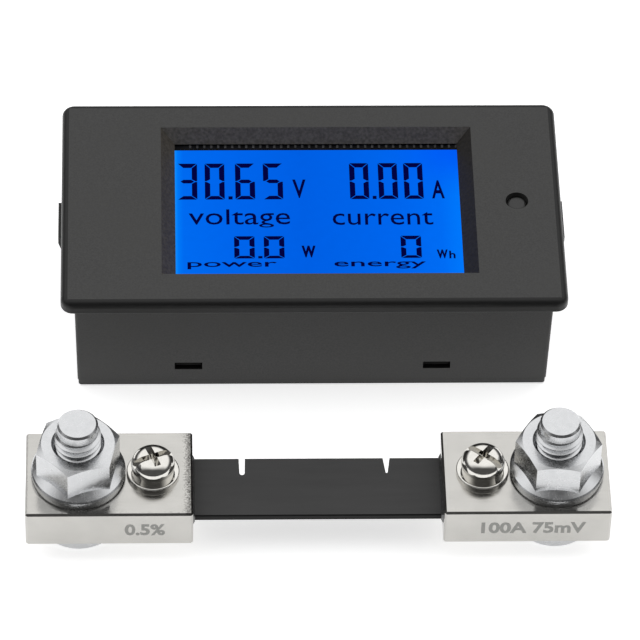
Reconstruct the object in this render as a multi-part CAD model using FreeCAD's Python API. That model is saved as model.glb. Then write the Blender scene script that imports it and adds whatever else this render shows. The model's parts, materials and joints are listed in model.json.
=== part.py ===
"""Battery monitor with its external shunt.

A flush-mounting panel meter lies on its back on the bench with its display facing up, and its
current shunt lies in front of it. The shunt is two nickel-plated brass blocks joined by a black
resistance strip. Each block has an M8 stud with a flange nut for the heavy cable and an M4
screw for the sense wire. All sizes are in millimetres; +Z is up, +X is along both units, and
the shunt is on the -Y side. The origin is at the centre of the set, on the bench.
"""

import FreeCAD
import Part
import math
import os

# ---- Shunt: driving sizes --------------------------------------------------------------------
SHUNT_LENGTH = 101.5
BLOCK_LENGTH = 29.0
BLOCK_WIDTH = 19.0
BLOCK_HEIGHT = 8.0
BLOCK_CHAMFER = 0.35

STUD_FROM_END = 9.15            # outer end of a block to the centre of its M8 stud
SENSE_PITCH = 12.95             # M8 stud to M4 sense screw, centre to centre

STRIP_WIDTH = 13.2
STRIP_THICKNESS = 1.3
STRIP_DROP = 3.8                # top of the block down to the top of the strip
STRIP_SEAT = 4.0                # how far the strip goes into each block
STRIP_EDGE = 0.2                # chamfer along the strip's long edges
TRIM_CUTS = (                   # saw cuts that trimmed the resistance:
    (-1, 8.65, 1.1, 0.9, 3.9),  # side, distance from that block, mouth, end width, depth
    (1, 9.55, 1.25, 0.35, 3.6),
)
SOLDER_GAP = 0.3                # solder all round the strip inside its seat
SOLDER_BEAD = 0.35              # fillet of solder where the strip leaves the block

M8_MAJOR = 8.0
M8_PITCH = 1.25
STUD_HEAD_DIAMETER = 14.5
STUD_HEAD_HEIGHT = 4.2
STUD_PROUD = 5.0                # stud above the flange nut
STUD_TIP_LENGTH = 1.9           # plain end of the stud, narrower than its thread
STUD_TIP = 0.885                # diameter of the plain end, as a share of the thread's
STUD_END_CHAMFER = 0.35
HOLE_CLEARANCE = 0.2            # radial, stud in its block
THREAD_CLEARANCE = 0.05         # radial, between a thread's crest and its mate

WASHER_DIAMETER = 16.0          # thin flat washer hidden under the nut's flange
WASHER_THICKNESS = 0.5
NUT_ACROSS_FLATS = 13.0
NUT_HEIGHT = 7.6
NUT_TOP_FACE = 12.7             # diameter of the flat on top, inside the turned corners
NUT_FLANGE_DIAMETER = 16.4
NUT_FLANGE_RIM = 1.0
NUT_FLANGE_RISE = 1.2           # cone from the rim up to the hexagon
NUT_ANGLE = {"left": -13.5, "right": 27.0}      # a corner, degrees from straight ahead (-Y)

M4_MAJOR = 4.0
M4_PITCH = 0.7
SCREW_HEAD_DIAMETER = 7.6
SCREW_HEAD_HEIGHT = 2.7
SCREW_HEAD_RIM = 0.9            # upright edge under the dome of the head
SCREW_SLOT = 1.15
SCREW_SLOT_DEPTH = 1.3
SCREW_SHANK = 8.6               # below the head
SCREW_PLAIN = 1.6               # of it without a thread, under the washers
SCREW_END_CHAMFER = 0.4
SCREW_ANGLE = {"left": 22.0, "right": -38.0}
SPRING_WASHER_DIAMETER = 7.2
SPRING_WASHER_THICKNESS = 1.0
SPRING_WASHER_SPLIT = 0.7
FLAT_WASHER_DIAMETER = 9.2
FLAT_WASHER_THICKNESS = 0.8

# ---- Panel meter: driving sizes --------------------------------------------------------------
UNIT_GAP = 19.1                 # clear bench between the shunt and the meter's bezel

BEZEL_LENGTH = 89.6
BEZEL_DEPTH = 49.6
BEZEL_THICKNESS = 2.6
BEZEL_CORNER = 2.2
BEZEL_EDGE = 1.2                # rounding along the bezel's front edges
BEZEL_BACK_EDGE = 0.3
METER_HEIGHT = 24.4
BEZEL_OVERHANG_X = 2.4          # bezel past the case at each short side
BEZEL_OVERHANG_Y = 2.1
CASE_WALL = 1.8
CASE_CORNER = 0.6
CASE_DRAFT = 0.35               # each wall leans in by this much towards the back
FRONT_WALL = 2.4

WINDOW_X = 1.15                 # centre of the display window from the centre of the bezel
WINDOW_Y = 0.5
WINDOW_LENGTH = 56.2            # at the face of the bezel
WINDOW_DEPTH = 36.2
WINDOW_SLOPE_X = 2.5            # how far each sloping side runs in
WINDOW_SLOPE_Y = 1.95

BUTTON_FROM_END = 8.0           # right-hand end of the bezel to the centre of the button
BUTTON_DIAMETER = 3.4
BUTTON_GAP = 0.35               # all round the cap in its hole
BUTTON_RECESS = 0.65
BUTTON_FLANGE_WIDTH = 1.5       # past the cap, behind the wall
BUTTON_FLANGE_THICKNESS = 1.2
BUTTON_TRAVEL = 0.5

SNAP_X = 22.2                   # centre of each snap window along the long walls
SNAP_WINDOW_LENGTH = 4.9
SNAP_WINDOW_HEIGHT = 1.8
SNAP_WINDOW_Z = 4.5
SNAP_TAB_THICKNESS = 1.2
SNAP_HOOK = 0.7
FIT_GAP = 0.2                   # clearance between moulded pieces that slide together

CLIP_WIDTH = 8.8
CLIP_PROUD = 3.0                # how far the free end stands out from the case
CLIP_THICKNESS = 1.3
CLIP_FOOT_Z = 6.5
CLIP_PANEL_GAP = 2.2            # between the back of the bezel and the clip's free end
CLIP_PIN_DIAMETER = 1.0
CLIP_PIN_LENGTH = 0.8
CLIP_SWING = 11.0               # degrees

COVER_THICKNESS = 1.6
COVER_STEP = 0.15               # the rear cover is smaller all round than the case
COVER_RIM_HEIGHT = 2.4
COVER_RIM_THICKNESS = 1.2
LABEL_LENGTH = 56.0
LABEL_DEPTH = 15.0
LABEL_THICKNESS = 0.15
LABEL_RECESS = 0.3
LABEL_Y = -11.0

LCD_GAP = 0.1                   # under the front wall
LCD_FILM = 0.2
LCD_GLASS = 1.1
LCD_MARGIN = 2.6                # glass hidden behind each side of the window
LCD_LEDGE = 1.45                # bare contact ledge that shows along the far side
LCD_BACKLIGHT = 3.0
LCD_FRAME_WALL = 1.0
LCD_PIN_PITCH = 1.27
LCD_PIN_WIDTH = 0.4
LCD_PIN_WIRE = 0.2
LCD_PIN_START = 5.45            # left-hand end of the glass to the first pin
LCD_PIN_END = 2.35              # bare glass after the last pin, at least
LCD_STANDOFF = 7.0              # circuit board up to the underside of the glass

BOARD_GAP_X = 1.1               # circuit board to the inside of each wall
BOARD_GAP_Y = 0.7
BOARD_THICKNESS = 1.6
BOARD_SCREW_INSET = 3.0         # from each corner of the board
BOSS_DIAMETER = 5.2
BOARD_SCREW_DIAMETER = 1.7
BOARD_SCREW_HEAD = 4.2
BOARD_SCREW_HEAD_HEIGHT = 1.4
BOARD_SCREW_LENGTH = 6.0        # past the board, into the boss

SWITCH_SIDE = 6.0
SWITCH_HEIGHT = 3.5
PLUNGER_DIAMETER = 3.0
CONTROLLER_GAP = 1.3            # terminal block to the microcontroller
CONTROLLER_LENGTH = 12.0
CONTROLLER_DEPTH = 10.0
CAPACITOR_GAP = 7.15            # terminal block to the capacitors
CAPACITOR_DIAMETER = 6.3
CAPACITOR_HEADROOM = 2.9        # capacitors to the rear cover

TERMINALS = 4
TERMINAL_PITCH = 8.0
TERMINAL_BARRIER = 1.4
TERMINAL_LENGTH = 15.0          # along Y, screw at one end and wire entry at the other
TERMINAL_Y = 9.5
TERMINAL_BASE = 3.0
TERMINAL_RECESS = 0.8           # below the face of the rear cover
TERMINAL_PLATE = 0.8
TERMINAL_CLAMP = 1.0
TERMINAL_SCREW_MAJOR = 3.0
TERMINAL_SCREW_HEAD = 5.2
TERMINAL_SCREW_HEAD_HEIGHT = 2.0
TERMINAL_SCREW_SHANK = 4.0
TERMINAL_SCREW_SLOT = 0.9

# ---- Places worked out from the sizes --------------------------------------------------------
SET_DEPTH = BLOCK_WIDTH + UNIT_GAP + BEZEL_DEPTH
SHUNT_Y = -SET_DEPTH / 2 + BLOCK_WIDTH / 2
METER_Y = SET_DEPTH / 2 - BEZEL_DEPTH / 2

BLOCK_Z = STUD_HEAD_HEIGHT
BLOCK_TOP = BLOCK_Z + BLOCK_HEIGHT
STUD_X = SHUNT_LENGTH / 2 - STUD_FROM_END
SENSE_X = STUD_X - SENSE_PITCH
NUT_Z = BLOCK_TOP + WASHER_THICKNESS
STUD_TOP = NUT_Z + NUT_HEIGHT + STUD_PROUD
STRIP_TOP = BLOCK_TOP - STRIP_DROP
INNER_FACE_X = SHUNT_LENGTH / 2 - BLOCK_LENGTH

CASE_LENGTH = BEZEL_LENGTH - 2 * BEZEL_OVERHANG_X
CASE_DEPTH = BEZEL_DEPTH - 2 * BEZEL_OVERHANG_Y
BEZEL_BACK = METER_HEIGHT - BEZEL_THICKNESS
CEILING = METER_HEIGHT - FRONT_WALL
CAVITY_LENGTH = CASE_LENGTH - 2 * CASE_WALL
CAVITY_DEPTH = CASE_DEPTH - 2 * CASE_WALL
LCD_TOP = CEILING - LCD_GAP
GLASS_TOP = LCD_TOP - LCD_FILM
GLASS_BOTTOM = GLASS_TOP - LCD_GLASS
WINDOW_INNER_LENGTH = WINDOW_LENGTH - 2 * WINDOW_SLOPE_X
WINDOW_INNER_DEPTH = WINDOW_DEPTH - 2 * WINDOW_SLOPE_Y
GLASS_LENGTH = WINDOW_INNER_LENGTH + 2 * LCD_MARGIN
GLASS_DEPTH = WINDOW_INNER_DEPTH + 2 * LCD_MARGIN
LCD_PINS = int((GLASS_LENGTH - LCD_PIN_START - LCD_PIN_END) / LCD_PIN_PITCH) + 1
BOARD_TOP = GLASS_BOTTOM - LCD_STANDOFF
BOARD_Z = BOARD_TOP - BOARD_THICKNESS
BOARD_LENGTH = CAVITY_LENGTH - 2 * BOARD_GAP_X
BOARD_DEPTH = CAVITY_DEPTH - 2 * BOARD_GAP_Y
BUTTON_X = BEZEL_LENGTH / 2 - BUTTON_FROM_END
BUTTON_HOLE = BUTTON_DIAMETER + 2 * BUTTON_GAP
BUTTON_FLANGE = BUTTON_DIAMETER + 2 * BUTTON_FLANGE_WIDTH
BOARD_SCREW_X = BOARD_LENGTH / 2 - BOARD_SCREW_INSET
BOARD_SCREW_Y = BOARD_DEPTH / 2 - BOARD_SCREW_INSET
TERMINAL_BLOCK_LENGTH = TERMINALS * TERMINAL_PITCH + TERMINAL_BARRIER
TERMINAL_CHAMBER = TERMINAL_PITCH - TERMINAL_BARRIER
TERMINAL_PLATE_SIDE = TERMINAL_CHAMBER - 2 * FIT_GAP
TERMINAL_CHAMBER_END = TERMINAL_Y + TERMINAL_LENGTH / 2 - TERMINAL_BARRIER
TERMINAL_SCREW_Y = TERMINAL_CHAMBER_END - FIT_GAP - TERMINAL_PLATE_SIDE / 2
TERMINAL_BASE_Z = BOARD_Z - TERMINAL_BASE
CLAMP_Z = TERMINAL_BASE_Z - TERMINAL_PLATE - TERMINAL_CLAMP
CLIP_TOP = BEZEL_BACK - CLIP_PANEL_GAP
CLIP_PIVOT_X = CASE_LENGTH / 2 - (CASE_WALL + CASE_DRAFT) / 2
CASE_BACK_LENGTH = CASE_LENGTH - 2 * CASE_DRAFT
CASE_BACK_DEPTH = CASE_DEPTH - 2 * CASE_DRAFT

UP = FreeCAD.Vector(0, 0, 1)
ORIGIN = FreeCAD.Vector(0, 0, 0)


# ---- Shapes used more than once --------------------------------------------------------------
def box(x_low, x_high, y_low, y_high, z_low, z_high):
    corner = FreeCAD.Vector(x_low, y_low, z_low)
    return Part.makeBox(x_high - x_low, y_high - y_low, z_high - z_low, corner)


def centred_box(length, depth, z_low, z_high, x=0.0, y=0.0):
    return box(x - length / 2, x + length / 2, y - depth / 2, y + depth / 2, z_low, z_high)


def cylinder(diameter, z_low, z_high, x=0.0, y=0.0):
    return Part.makeCylinder(diameter / 2, z_high - z_low, FreeCAD.Vector(x, y, z_low), UP)


def revolved(outline):
    """A solid turned about the Z axis from (radius, height) points."""
    points = [FreeCAD.Vector(r, 0, z) for r, z in outline]
    wire = Part.makePolygon(points + [points[0]])
    return Part.Face(wire).revolve(ORIGIN, UP, 360)


def hexagon(across_flats, z_low, z_high, angle):
    """A hexagonal prism with one corner turned angle degrees from the -Y direction."""
    radius = across_flats / 2 / math.cos(math.pi / 6)
    corners = []
    for step in range(6):
        turn = math.radians(-90 + angle + 60 * step)
        corners.append(FreeCAD.Vector(radius * math.cos(turn), radius * math.sin(turn), z_low))
    return Part.Face(Part.makePolygon(corners + [corners[0]])).extrude(UP * (z_high - z_low))


def frustum(length_low, depth_low, z_low, length_high, depth_high, z_high):
    """A block whose rectangular section grows from z_low to z_high."""
    wires = []
    for length, depth, z in ((length_low, depth_low, z_low), (length_high, depth_high, z_high)):
        x, y = length / 2, depth / 2
        points = [FreeCAD.Vector(*p, z) for p in ((-x, -y), (x, -y), (x, y), (-x, y), (-x, -y))]
        wires.append(Part.makePolygon(points))
    return Part.makeLoft(wires, True, True)


def upright_edges(shape):
    """The edges that stand up, drafted or not."""
    return [e for e in shape.Edges
            if e.BoundBox.ZLength > max(e.BoundBox.XLength, e.BoundBox.YLength)]


def edges_at(shape, z):
    """The edges that lie wholly at height z."""
    return [e for e in shape.Edges
            if abs(e.BoundBox.ZMin - z) < 1e-6 and abs(e.BoundBox.ZMax - z) < 1e-6]


def joined(shapes):
    result = shapes[0]
    for shape in shapes[1:]:
        result = result.fuse(shape)
    return result.removeSplitter()


def thread_groove(major, pitch, z_low, z_high):
    """The helical V that cuts a metric thread into a rod, from z_low up to z_high."""
    surface = major / 2
    root = surface - 0.613 * pitch          # depth of an external metric thread
    half_root = pitch / 8
    half_mouth = pitch * 7 / 16
    flank = (half_mouth - half_root) / (surface - root)
    half_far = pitch * 0.49                 # past the surface, one turn just clears the next
    far = surface + (half_far - half_mouth) / flank
    points = [FreeCAD.Vector(root, 0, z_low - half_root), FreeCAD.Vector(far, 0, z_low - half_far),
              FreeCAD.Vector(far, 0, z_low + half_far), FreeCAD.Vector(root, 0, z_low + half_root)]
    profile = Part.makePolygon(points + [points[0]])
    helix = Part.makeHelix(pitch, z_high - z_low, surface)
    helix.translate(UP * z_low)
    groove = Part.Wire(helix).makePipeShell([profile], True, True)
    groove.rotate(ORIGIN, UP, 40)           # keeps the groove's start off the rod's seam
    return groove


def threaded_rod(major, pitch, z_low, thread_low, z_top, chamfer):
    """Rod standing on z_low, threaded from thread_low up to its chamfered top end."""
    spare = 3 * pitch                       # cut off again with the chamfer
    rod = cylinder(major, z_low, z_top + spare)
    rod = rod.cut(thread_groove(major, pitch, thread_low, z_top + pitch))
    radius = major / 2
    envelope = revolved([(0, z_low), (radius + 1, z_low), (radius + 1, z_top - chamfer - 1),
                         (radius - chamfer, z_top), (0, z_top)])
    return rod.common(envelope)


def cross_recess(span, width, depth, top, angle):
    """Two crossed tapering slots that a cross-head driver fits, cut down from top."""
    arms = []
    for turn in (0, 90):
        arm = frustum(span * 0.45, width * 0.7, -depth, span, width, 0)
        arm.rotate(ORIGIN, UP, angle + turn)
        arm.translate(UP * top)
        arms.append(arm)
    return arms[0].fuse(arms[1])


# ---- Shunt -----------------------------------------------------------------------------------
def terminal_block():
    """Right-hand block: seat for the strip on its inner face, stud hole and tapped sense hole."""
    outer_x = SHUNT_LENGTH / 2
    block = box(INNER_FACE_X, outer_x, -BLOCK_WIDTH / 2, BLOCK_WIDTH / 2, BLOCK_Z, BLOCK_TOP)
    block = block.makeChamfer(BLOCK_CHAMFER, block.Edges)
    block = block.cut(strip_seat())
    block = block.cut(cylinder(M8_MAJOR + 2 * HOLE_CLEARANCE, 0, BLOCK_TOP + 1, x=STUD_X))
    return block.cut(cylinder(M4_MAJOR + 2 * THREAD_CLEARANCE, 0, BLOCK_TOP + 1, x=SENSE_X))


def strip_seat():
    """The slot milled into the right-hand block for the strip and its solder."""
    x_end = INNER_FACE_X + STRIP_SEAT + SOLDER_GAP
    half = STRIP_WIDTH / 2 + SOLDER_GAP
    return box(INNER_FACE_X - 1, x_end, -half, half,
               STRIP_TOP - STRIP_THICKNESS - SOLDER_GAP, STRIP_TOP + SOLDER_GAP)


def resistance_strip():
    half = INNER_FACE_X + STRIP_SEAT
    z_low = STRIP_TOP - STRIP_THICKNESS
    strip = box(-half, half, -STRIP_WIDTH / 2, STRIP_WIDTH / 2, z_low, STRIP_TOP)
    long_edges = [e for e in strip.Edges if e.BoundBox.XLength > half]
    strip = strip.makeChamfer(STRIP_EDGE, long_edges)
    for side, from_block, mouth, end_width, depth in TRIM_CUTS:
        x = side * (INNER_FACE_X - from_block)
        back = STRIP_WIDTH / 2
        tip = back - depth + end_width / 2
        points = [
            FreeCAD.Vector(x - mouth / 2, back + 1, z_low - 1),
            FreeCAD.Vector(x - mouth / 2, back, z_low - 1),
            FreeCAD.Vector(x - end_width / 2, tip, z_low - 1),
            FreeCAD.Vector(x + end_width / 2, tip, z_low - 1),
            FreeCAD.Vector(x + mouth / 2, back, z_low - 1),
            FreeCAD.Vector(x + mouth / 2, back + 1, z_low - 1),
        ]
        wedge = Part.Face(Part.makePolygon(points + [points[0]]))
        strip = strip.cut(wedge.extrude(UP * (STRIP_THICKNESS + 2)))
        strip = strip.cut(cylinder(end_width, z_low - 1, STRIP_TOP + 1, x=x, y=tip))
    return strip


def solder_joint():
    """Solder that fills the right-hand seat round the strip, with a sloping bead outside it."""
    filling = strip_seat().common(box(INNER_FACE_X, SHUNT_LENGTH, -BLOCK_WIDTH, BLOCK_WIDTH,
                                      0, METER_HEIGHT))
    z_middle = STRIP_TOP - STRIP_THICKNESS / 2
    wide, high = STRIP_WIDTH + 2 * SOLDER_GAP, STRIP_THICKNESS + 2 * SOLDER_GAP
    bead = frustum(wide + SOLDER_BEAD, high + SOLDER_BEAD, 0,
                   STRIP_WIDTH + 0.1, STRIP_THICKNESS + 0.1, SOLDER_BEAD)
    bead.rotate(ORIGIN, UP, 90)
    bead.rotate(ORIGIN, FreeCAD.Vector(0, 1, 0), -90)
    bead.translate(FreeCAD.Vector(INNER_FACE_X, 0, z_middle))
    return filling.fuse(bead).removeSplitter().cut(resistance_strip())


def terminal_stud():
    """M8 bolt pushed up through the block, with a low round head underneath."""
    head = revolved([(0, 0), (STUD_HEAD_DIAMETER / 2, 0),
                     (STUD_HEAD_DIAMETER / 2, STUD_HEAD_HEIGHT), (0, STUD_HEAD_HEIGHT)])
    head = head.makeFillet(0.7, edges_at(head, 0))
    head = head.cut(upside_down(cross_recess(7.6, 1.6, 2.4, 0, 45)))
    thread_top = STUD_TOP - STUD_TIP_LENGTH
    tip_radius = STUD_TIP * M8_MAJOR / 2
    shank = threaded_rod(M8_MAJOR, M8_PITCH, STUD_HEAD_HEIGHT, BLOCK_Z + BLOCK_HEIGHT / 2,
                         thread_top, M8_MAJOR / 2 - tip_radius)
    tip = revolved([(0, thread_top), (tip_radius, thread_top),
                    (tip_radius, STUD_TOP - STUD_END_CHAMFER),
                    (tip_radius - STUD_END_CHAMFER, STUD_TOP), (0, STUD_TOP)])
    return placed(joined([head, shank, tip]), STUD_X)


def upside_down(shape):
    turned = shape.copy()
    turned.rotate(ORIGIN, FreeCAD.Vector(1, 0, 0), 180)
    return turned


def placed(shape, x, y=0.0, z=0.0):
    moved = shape.copy()
    moved.translate(FreeCAD.Vector(x, y, z))
    return moved


def ring(outer, inner, z_low, z_high):
    return cylinder(outer, z_low, z_high).cut(cylinder(inner, z_low - 1, z_high + 1))


def stud_washer():
    bore = M8_MAJOR + 2 * HOLE_CLEARANCE
    washer = ring(WASHER_DIAMETER, bore, BLOCK_TOP, NUT_Z)
    rim = [e for e in edges_at(washer, NUT_Z) if e.BoundBox.XLength > bore + 1]
    return placed(washer.makeFillet(WASHER_THICKNESS / 3, rim), STUD_X)


def flange_nut(angle):
    """Hexagon with its top corners turned away, on a round flange with a coned upper face."""
    top = NUT_Z + NUT_HEIGHT
    hex_radius = NUT_ACROSS_FLATS / 2 / math.cos(math.pi / 6)
    face_radius = NUT_TOP_FACE / 2
    drop = (hex_radius - face_radius) * math.tan(math.radians(30))
    envelope = revolved([(0, NUT_Z), (hex_radius + 0.01, NUT_Z), (hex_radius + 0.01, top - drop),
                         (face_radius, top), (0, top)])
    body = hexagon(NUT_ACROSS_FLATS, NUT_Z, top, angle).common(envelope)
    rim = NUT_FLANGE_DIAMETER / 2
    flange = revolved([(0, NUT_Z), (rim - 0.15, NUT_Z), (rim, NUT_Z + 0.15),
                       (rim, NUT_Z + NUT_FLANGE_RIM - 0.25), (rim - 0.25, NUT_Z + NUT_FLANGE_RIM),
                       (NUT_ACROSS_FLATS / 2 - 0.3, NUT_Z + NUT_FLANGE_RIM + NUT_FLANGE_RISE),
                       (0, NUT_Z + NUT_FLANGE_RIM + NUT_FLANGE_RISE)])
    nut = body.fuse(flange).removeSplitter()
    bore = M8_MAJOR / 2 + THREAD_CLEARANCE
    countersink = 0.55
    cutter = revolved([(0, NUT_Z - 1), (bore + countersink, NUT_Z - 1), (bore + countersink, NUT_Z),
                       (bore, NUT_Z + countersink), (bore, top - countersink),
                       (bore + countersink, top), (bore + countersink, top + 1), (0, top + 1)])
    return placed(nut.cut(cutter), STUD_X)


def sense_flat_washer():
    bore = M4_MAJOR + 2 * HOLE_CLEARANCE
    top = BLOCK_TOP + FLAT_WASHER_THICKNESS
    washer = ring(FLAT_WASHER_DIAMETER, bore, BLOCK_TOP, top)
    rim = [e for e in edges_at(washer, top) if e.BoundBox.XLength > bore + 1]
    return placed(washer.makeFillet(FLAT_WASHER_THICKNESS / 3, rim), SENSE_X)


def sense_spring_washer():
    """Split ring, cut through on a slant."""
    z_low = BLOCK_TOP + FLAT_WASHER_THICKNESS
    z_high = z_low + SPRING_WASHER_THICKNESS
    washer = ring(SPRING_WASHER_DIAMETER, M4_MAJOR + 2 * HOLE_CLEARANCE, z_low, z_high)
    split = centred_box(SPRING_WASHER_SPLIT, SPRING_WASHER_DIAMETER, -3, 3)
    split.rotate(ORIGIN, FreeCAD.Vector(0, 1, 0), 30)
    split.translate(FreeCAD.Vector(0, -SPRING_WASHER_DIAMETER / 2, (z_low + z_high) / 2))
    washer = washer.cut(split)
    washer.rotate(ORIGIN, UP, 150)
    return placed(washer, SENSE_X)


def sense_screw(angle):
    """M4 pan head with a cross recess and a driving slot right across it."""
    seat = BLOCK_TOP + FLAT_WASHER_THICKNESS + SPRING_WASHER_THICKNESS
    top = seat + SCREW_HEAD_HEIGHT
    radius = SCREW_HEAD_DIAMETER / 2
    shoulder = seat + SCREW_HEAD_RIM
    flat = radius * 0.42
    crown = Part.Arc(FreeCAD.Vector(radius, 0, shoulder),
                     FreeCAD.Vector(radius * 0.86, 0, shoulder + (top - shoulder) * 0.62),
                     FreeCAD.Vector(flat, 0, top)).toShape()
    corners = [FreeCAD.Vector(flat, 0, top), FreeCAD.Vector(0, 0, top), FreeCAD.Vector(0, 0, seat),
               FreeCAD.Vector(radius - 0.2, 0, seat), FreeCAD.Vector(radius, 0, seat + 0.2),
               FreeCAD.Vector(radius, 0, shoulder)]
    outline = Part.Wire([crown] + Part.makePolygon(corners).Edges)
    head = Part.Face(outline).revolve(ORIGIN, UP, 360)
    slot = centred_box(SCREW_HEAD_DIAMETER + 1, SCREW_SLOT, top - SCREW_SLOT_DEPTH, top + 1)
    slot.rotate(ORIGIN, UP, angle)
    head = head.cut(slot)
    head = head.cut(cross_recess(SCREW_HEAD_DIAMETER * 0.62, SCREW_SLOT, 2.0, top + 0.01, angle))
    shank = threaded_rod(M4_MAJOR, M4_PITCH, 0, SCREW_PLAIN + M4_PITCH, SCREW_SHANK,
                         SCREW_END_CHAMFER)
    shank = placed(upside_down(shank), 0, 0, seat)
    return placed(head.fuse(shank), SENSE_X)


def mirrored_pair(shape):
    """The right-hand piece as made, and the same piece turned round for the left-hand end."""
    left = shape.copy()
    left.rotate(ORIGIN, UP, 180)
    return {"left": left, "right": shape}


def shunt_pieces():
    pieces = {}
    for name, shape in (("terminal_block", terminal_block()), ("solder_joint", solder_joint())):
        for side, piece in mirrored_pair(shape).items():
            pieces[f"{name}_{side}"] = piece
    pieces["resistance_strip"] = resistance_strip()
    for side, x in (("left", -1), ("right", 1)):
        for name, shape in (("terminal_stud", terminal_stud()),
                            ("stud_washer", stud_washer()),
                            ("flange_nut", flange_nut(NUT_ANGLE[side])),
                            ("sense_flat_washer", sense_flat_washer()),
                            ("sense_spring_washer", sense_spring_washer()),
                            ("sense_screw", sense_screw(SCREW_ANGLE[side]))):
            reach = SENSE_X if name.startswith("sense") else STUD_X
            pieces[f"{name}_{side}"] = shape if x > 0 else placed(shape, -2 * reach)
    return {name: placed(shape, 0, SHUNT_Y) for name, shape in pieces.items()}


# ---- Panel meter -----------------------------------------------------------------------------
def front_housing():
    """One moulding: bezel, window, walls, board posts, snap windows and clip pockets."""
    bezel = centred_box(BEZEL_LENGTH, BEZEL_DEPTH, BEZEL_BACK, METER_HEIGHT)
    bezel = bezel.makeFillet(BEZEL_CORNER, upright_edges(bezel))
    bezel = bezel.makeFillet(BEZEL_EDGE, edges_at(bezel, METER_HEIGHT))
    bezel = bezel.makeFillet(BEZEL_BACK_EDGE, edges_at(bezel, BEZEL_BACK))
    walls = frustum(CASE_BACK_LENGTH, CASE_BACK_DEPTH, COVER_THICKNESS,
                    CASE_LENGTH, CASE_DEPTH, BEZEL_BACK + BEZEL_BACK_EDGE)
    walls = walls.makeFillet(CASE_CORNER, upright_edges(walls))
    cavity = centred_box(CAVITY_LENGTH, CAVITY_DEPTH, 0, CEILING)
    posts = [boss(x, y) for x, y in board_screw_places()]
    shell = joined([bezel.fuse(walls).cut(cavity)] + posts)
    shell = shell.cut(window_funnel())
    shell = shell.cut(cylinder(BUTTON_HOLE, CEILING - 1, METER_HEIGHT + 1, x=BUTTON_X))
    for x, y in board_screw_places():
        shell = shell.cut(cylinder(BOARD_SCREW_DIAMETER + 2 * THREAD_CLEARANCE, BOARD_TOP - 1,
                                   BOARD_TOP + BOARD_SCREW_LENGTH + 0.4, x, y))
    for x in (-SNAP_X, SNAP_X):
        shell = shell.cut(centred_box(SNAP_WINDOW_LENGTH, CASE_DEPTH + 2, SNAP_WINDOW_Z,
                                      SNAP_WINDOW_Z + SNAP_WINDOW_HEIGHT, x=x))
    for side in (-1, 1):
        shell = shell.cut(clip_pocket(side))
    return shell


def board_screw_places():
    return [(x * BOARD_SCREW_X, y * BOARD_SCREW_Y) for x in (-1, 1) for y in (-1, 1)]


def boss(x, y):
    return cylinder(BOSS_DIAMETER, BOARD_TOP, CEILING + 0.5, x, y)


def window_funnel():
    funnel = frustum(WINDOW_INNER_LENGTH, WINDOW_INNER_DEPTH, CEILING,
                     WINDOW_LENGTH, WINDOW_DEPTH, METER_HEIGHT)
    through = centred_box(WINDOW_INNER_LENGTH, WINDOW_INNER_DEPTH, CEILING - 1, CEILING)
    above = centred_box(WINDOW_LENGTH, WINDOW_DEPTH, METER_HEIGHT, METER_HEIGHT + 1)
    return placed(joined([funnel, through, above]), WINDOW_X, WINDOW_Y)


def clip_pocket(side):
    """Opening in a short wall for the sprung clip, with a hole each side for its pivot stubs."""
    x_low = CASE_LENGTH / 2 - CASE_WALL - 1
    foot = CLIP_FOOT_Z - CLIP_THICKNESS / 2 - FIT_GAP
    half = CLIP_WIDTH / 2 + FIT_GAP
    pocket = box(x_low, CASE_LENGTH / 2 + 1, -half, half, foot, CLIP_TOP + 4 * FIT_GAP)
    stub_hole = Part.makeCylinder(CLIP_PIN_DIAMETER / 2 + THREAD_CLEARANCE,
                                  CLIP_WIDTH + 2 * CLIP_PIN_LENGTH + 4 * FIT_GAP,
                                  FreeCAD.Vector(CLIP_PIVOT_X,
                                                 -CLIP_WIDTH / 2 - CLIP_PIN_LENGTH - 2 * FIT_GAP,
                                                 CLIP_FOOT_Z), FreeCAD.Vector(0, 1, 0))
    cutter = pocket.fuse(stub_hole)
    if side < 0:
        cutter.rotate(ORIGIN, UP, 180)
    return cutter


def panel_clip(side):
    """Tongue that slopes out from its pivot and snaps behind the panel."""
    radius = CLIP_THICKNESS / 2
    barrel = Part.makeCylinder(radius, CLIP_WIDTH, FreeCAD.Vector(CLIP_PIVOT_X, -CLIP_WIDTH / 2,
                                                                  CLIP_FOOT_Z),
                               FreeCAD.Vector(0, 1, 0))
    stubs = Part.makeCylinder(CLIP_PIN_DIAMETER / 2, CLIP_WIDTH + 2 * CLIP_PIN_LENGTH,
                              FreeCAD.Vector(CLIP_PIVOT_X, -CLIP_WIDTH / 2 - CLIP_PIN_LENGTH,
                                             CLIP_FOOT_Z), FreeCAD.Vector(0, 1, 0))
    tip_x = CASE_LENGTH / 2 + CLIP_PROUD
    corners = [(CLIP_PIVOT_X + radius, CLIP_FOOT_Z), (tip_x, CLIP_TOP - 1.2), (tip_x, CLIP_TOP),
               (tip_x - CLIP_THICKNESS - 0.5, CLIP_TOP), (CLIP_PIVOT_X - radius, CLIP_FOOT_Z)]
    points = [FreeCAD.Vector(x, -CLIP_WIDTH / 2, z) for x, z in corners]
    arm = Part.Face(Part.makePolygon(points + [points[0]]))
    arm = arm.extrude(FreeCAD.Vector(0, CLIP_WIDTH, 0))
    clip = joined([barrel, stubs, arm])
    if side < 0:
        clip.rotate(ORIGIN, UP, 180)
    return clip


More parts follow.
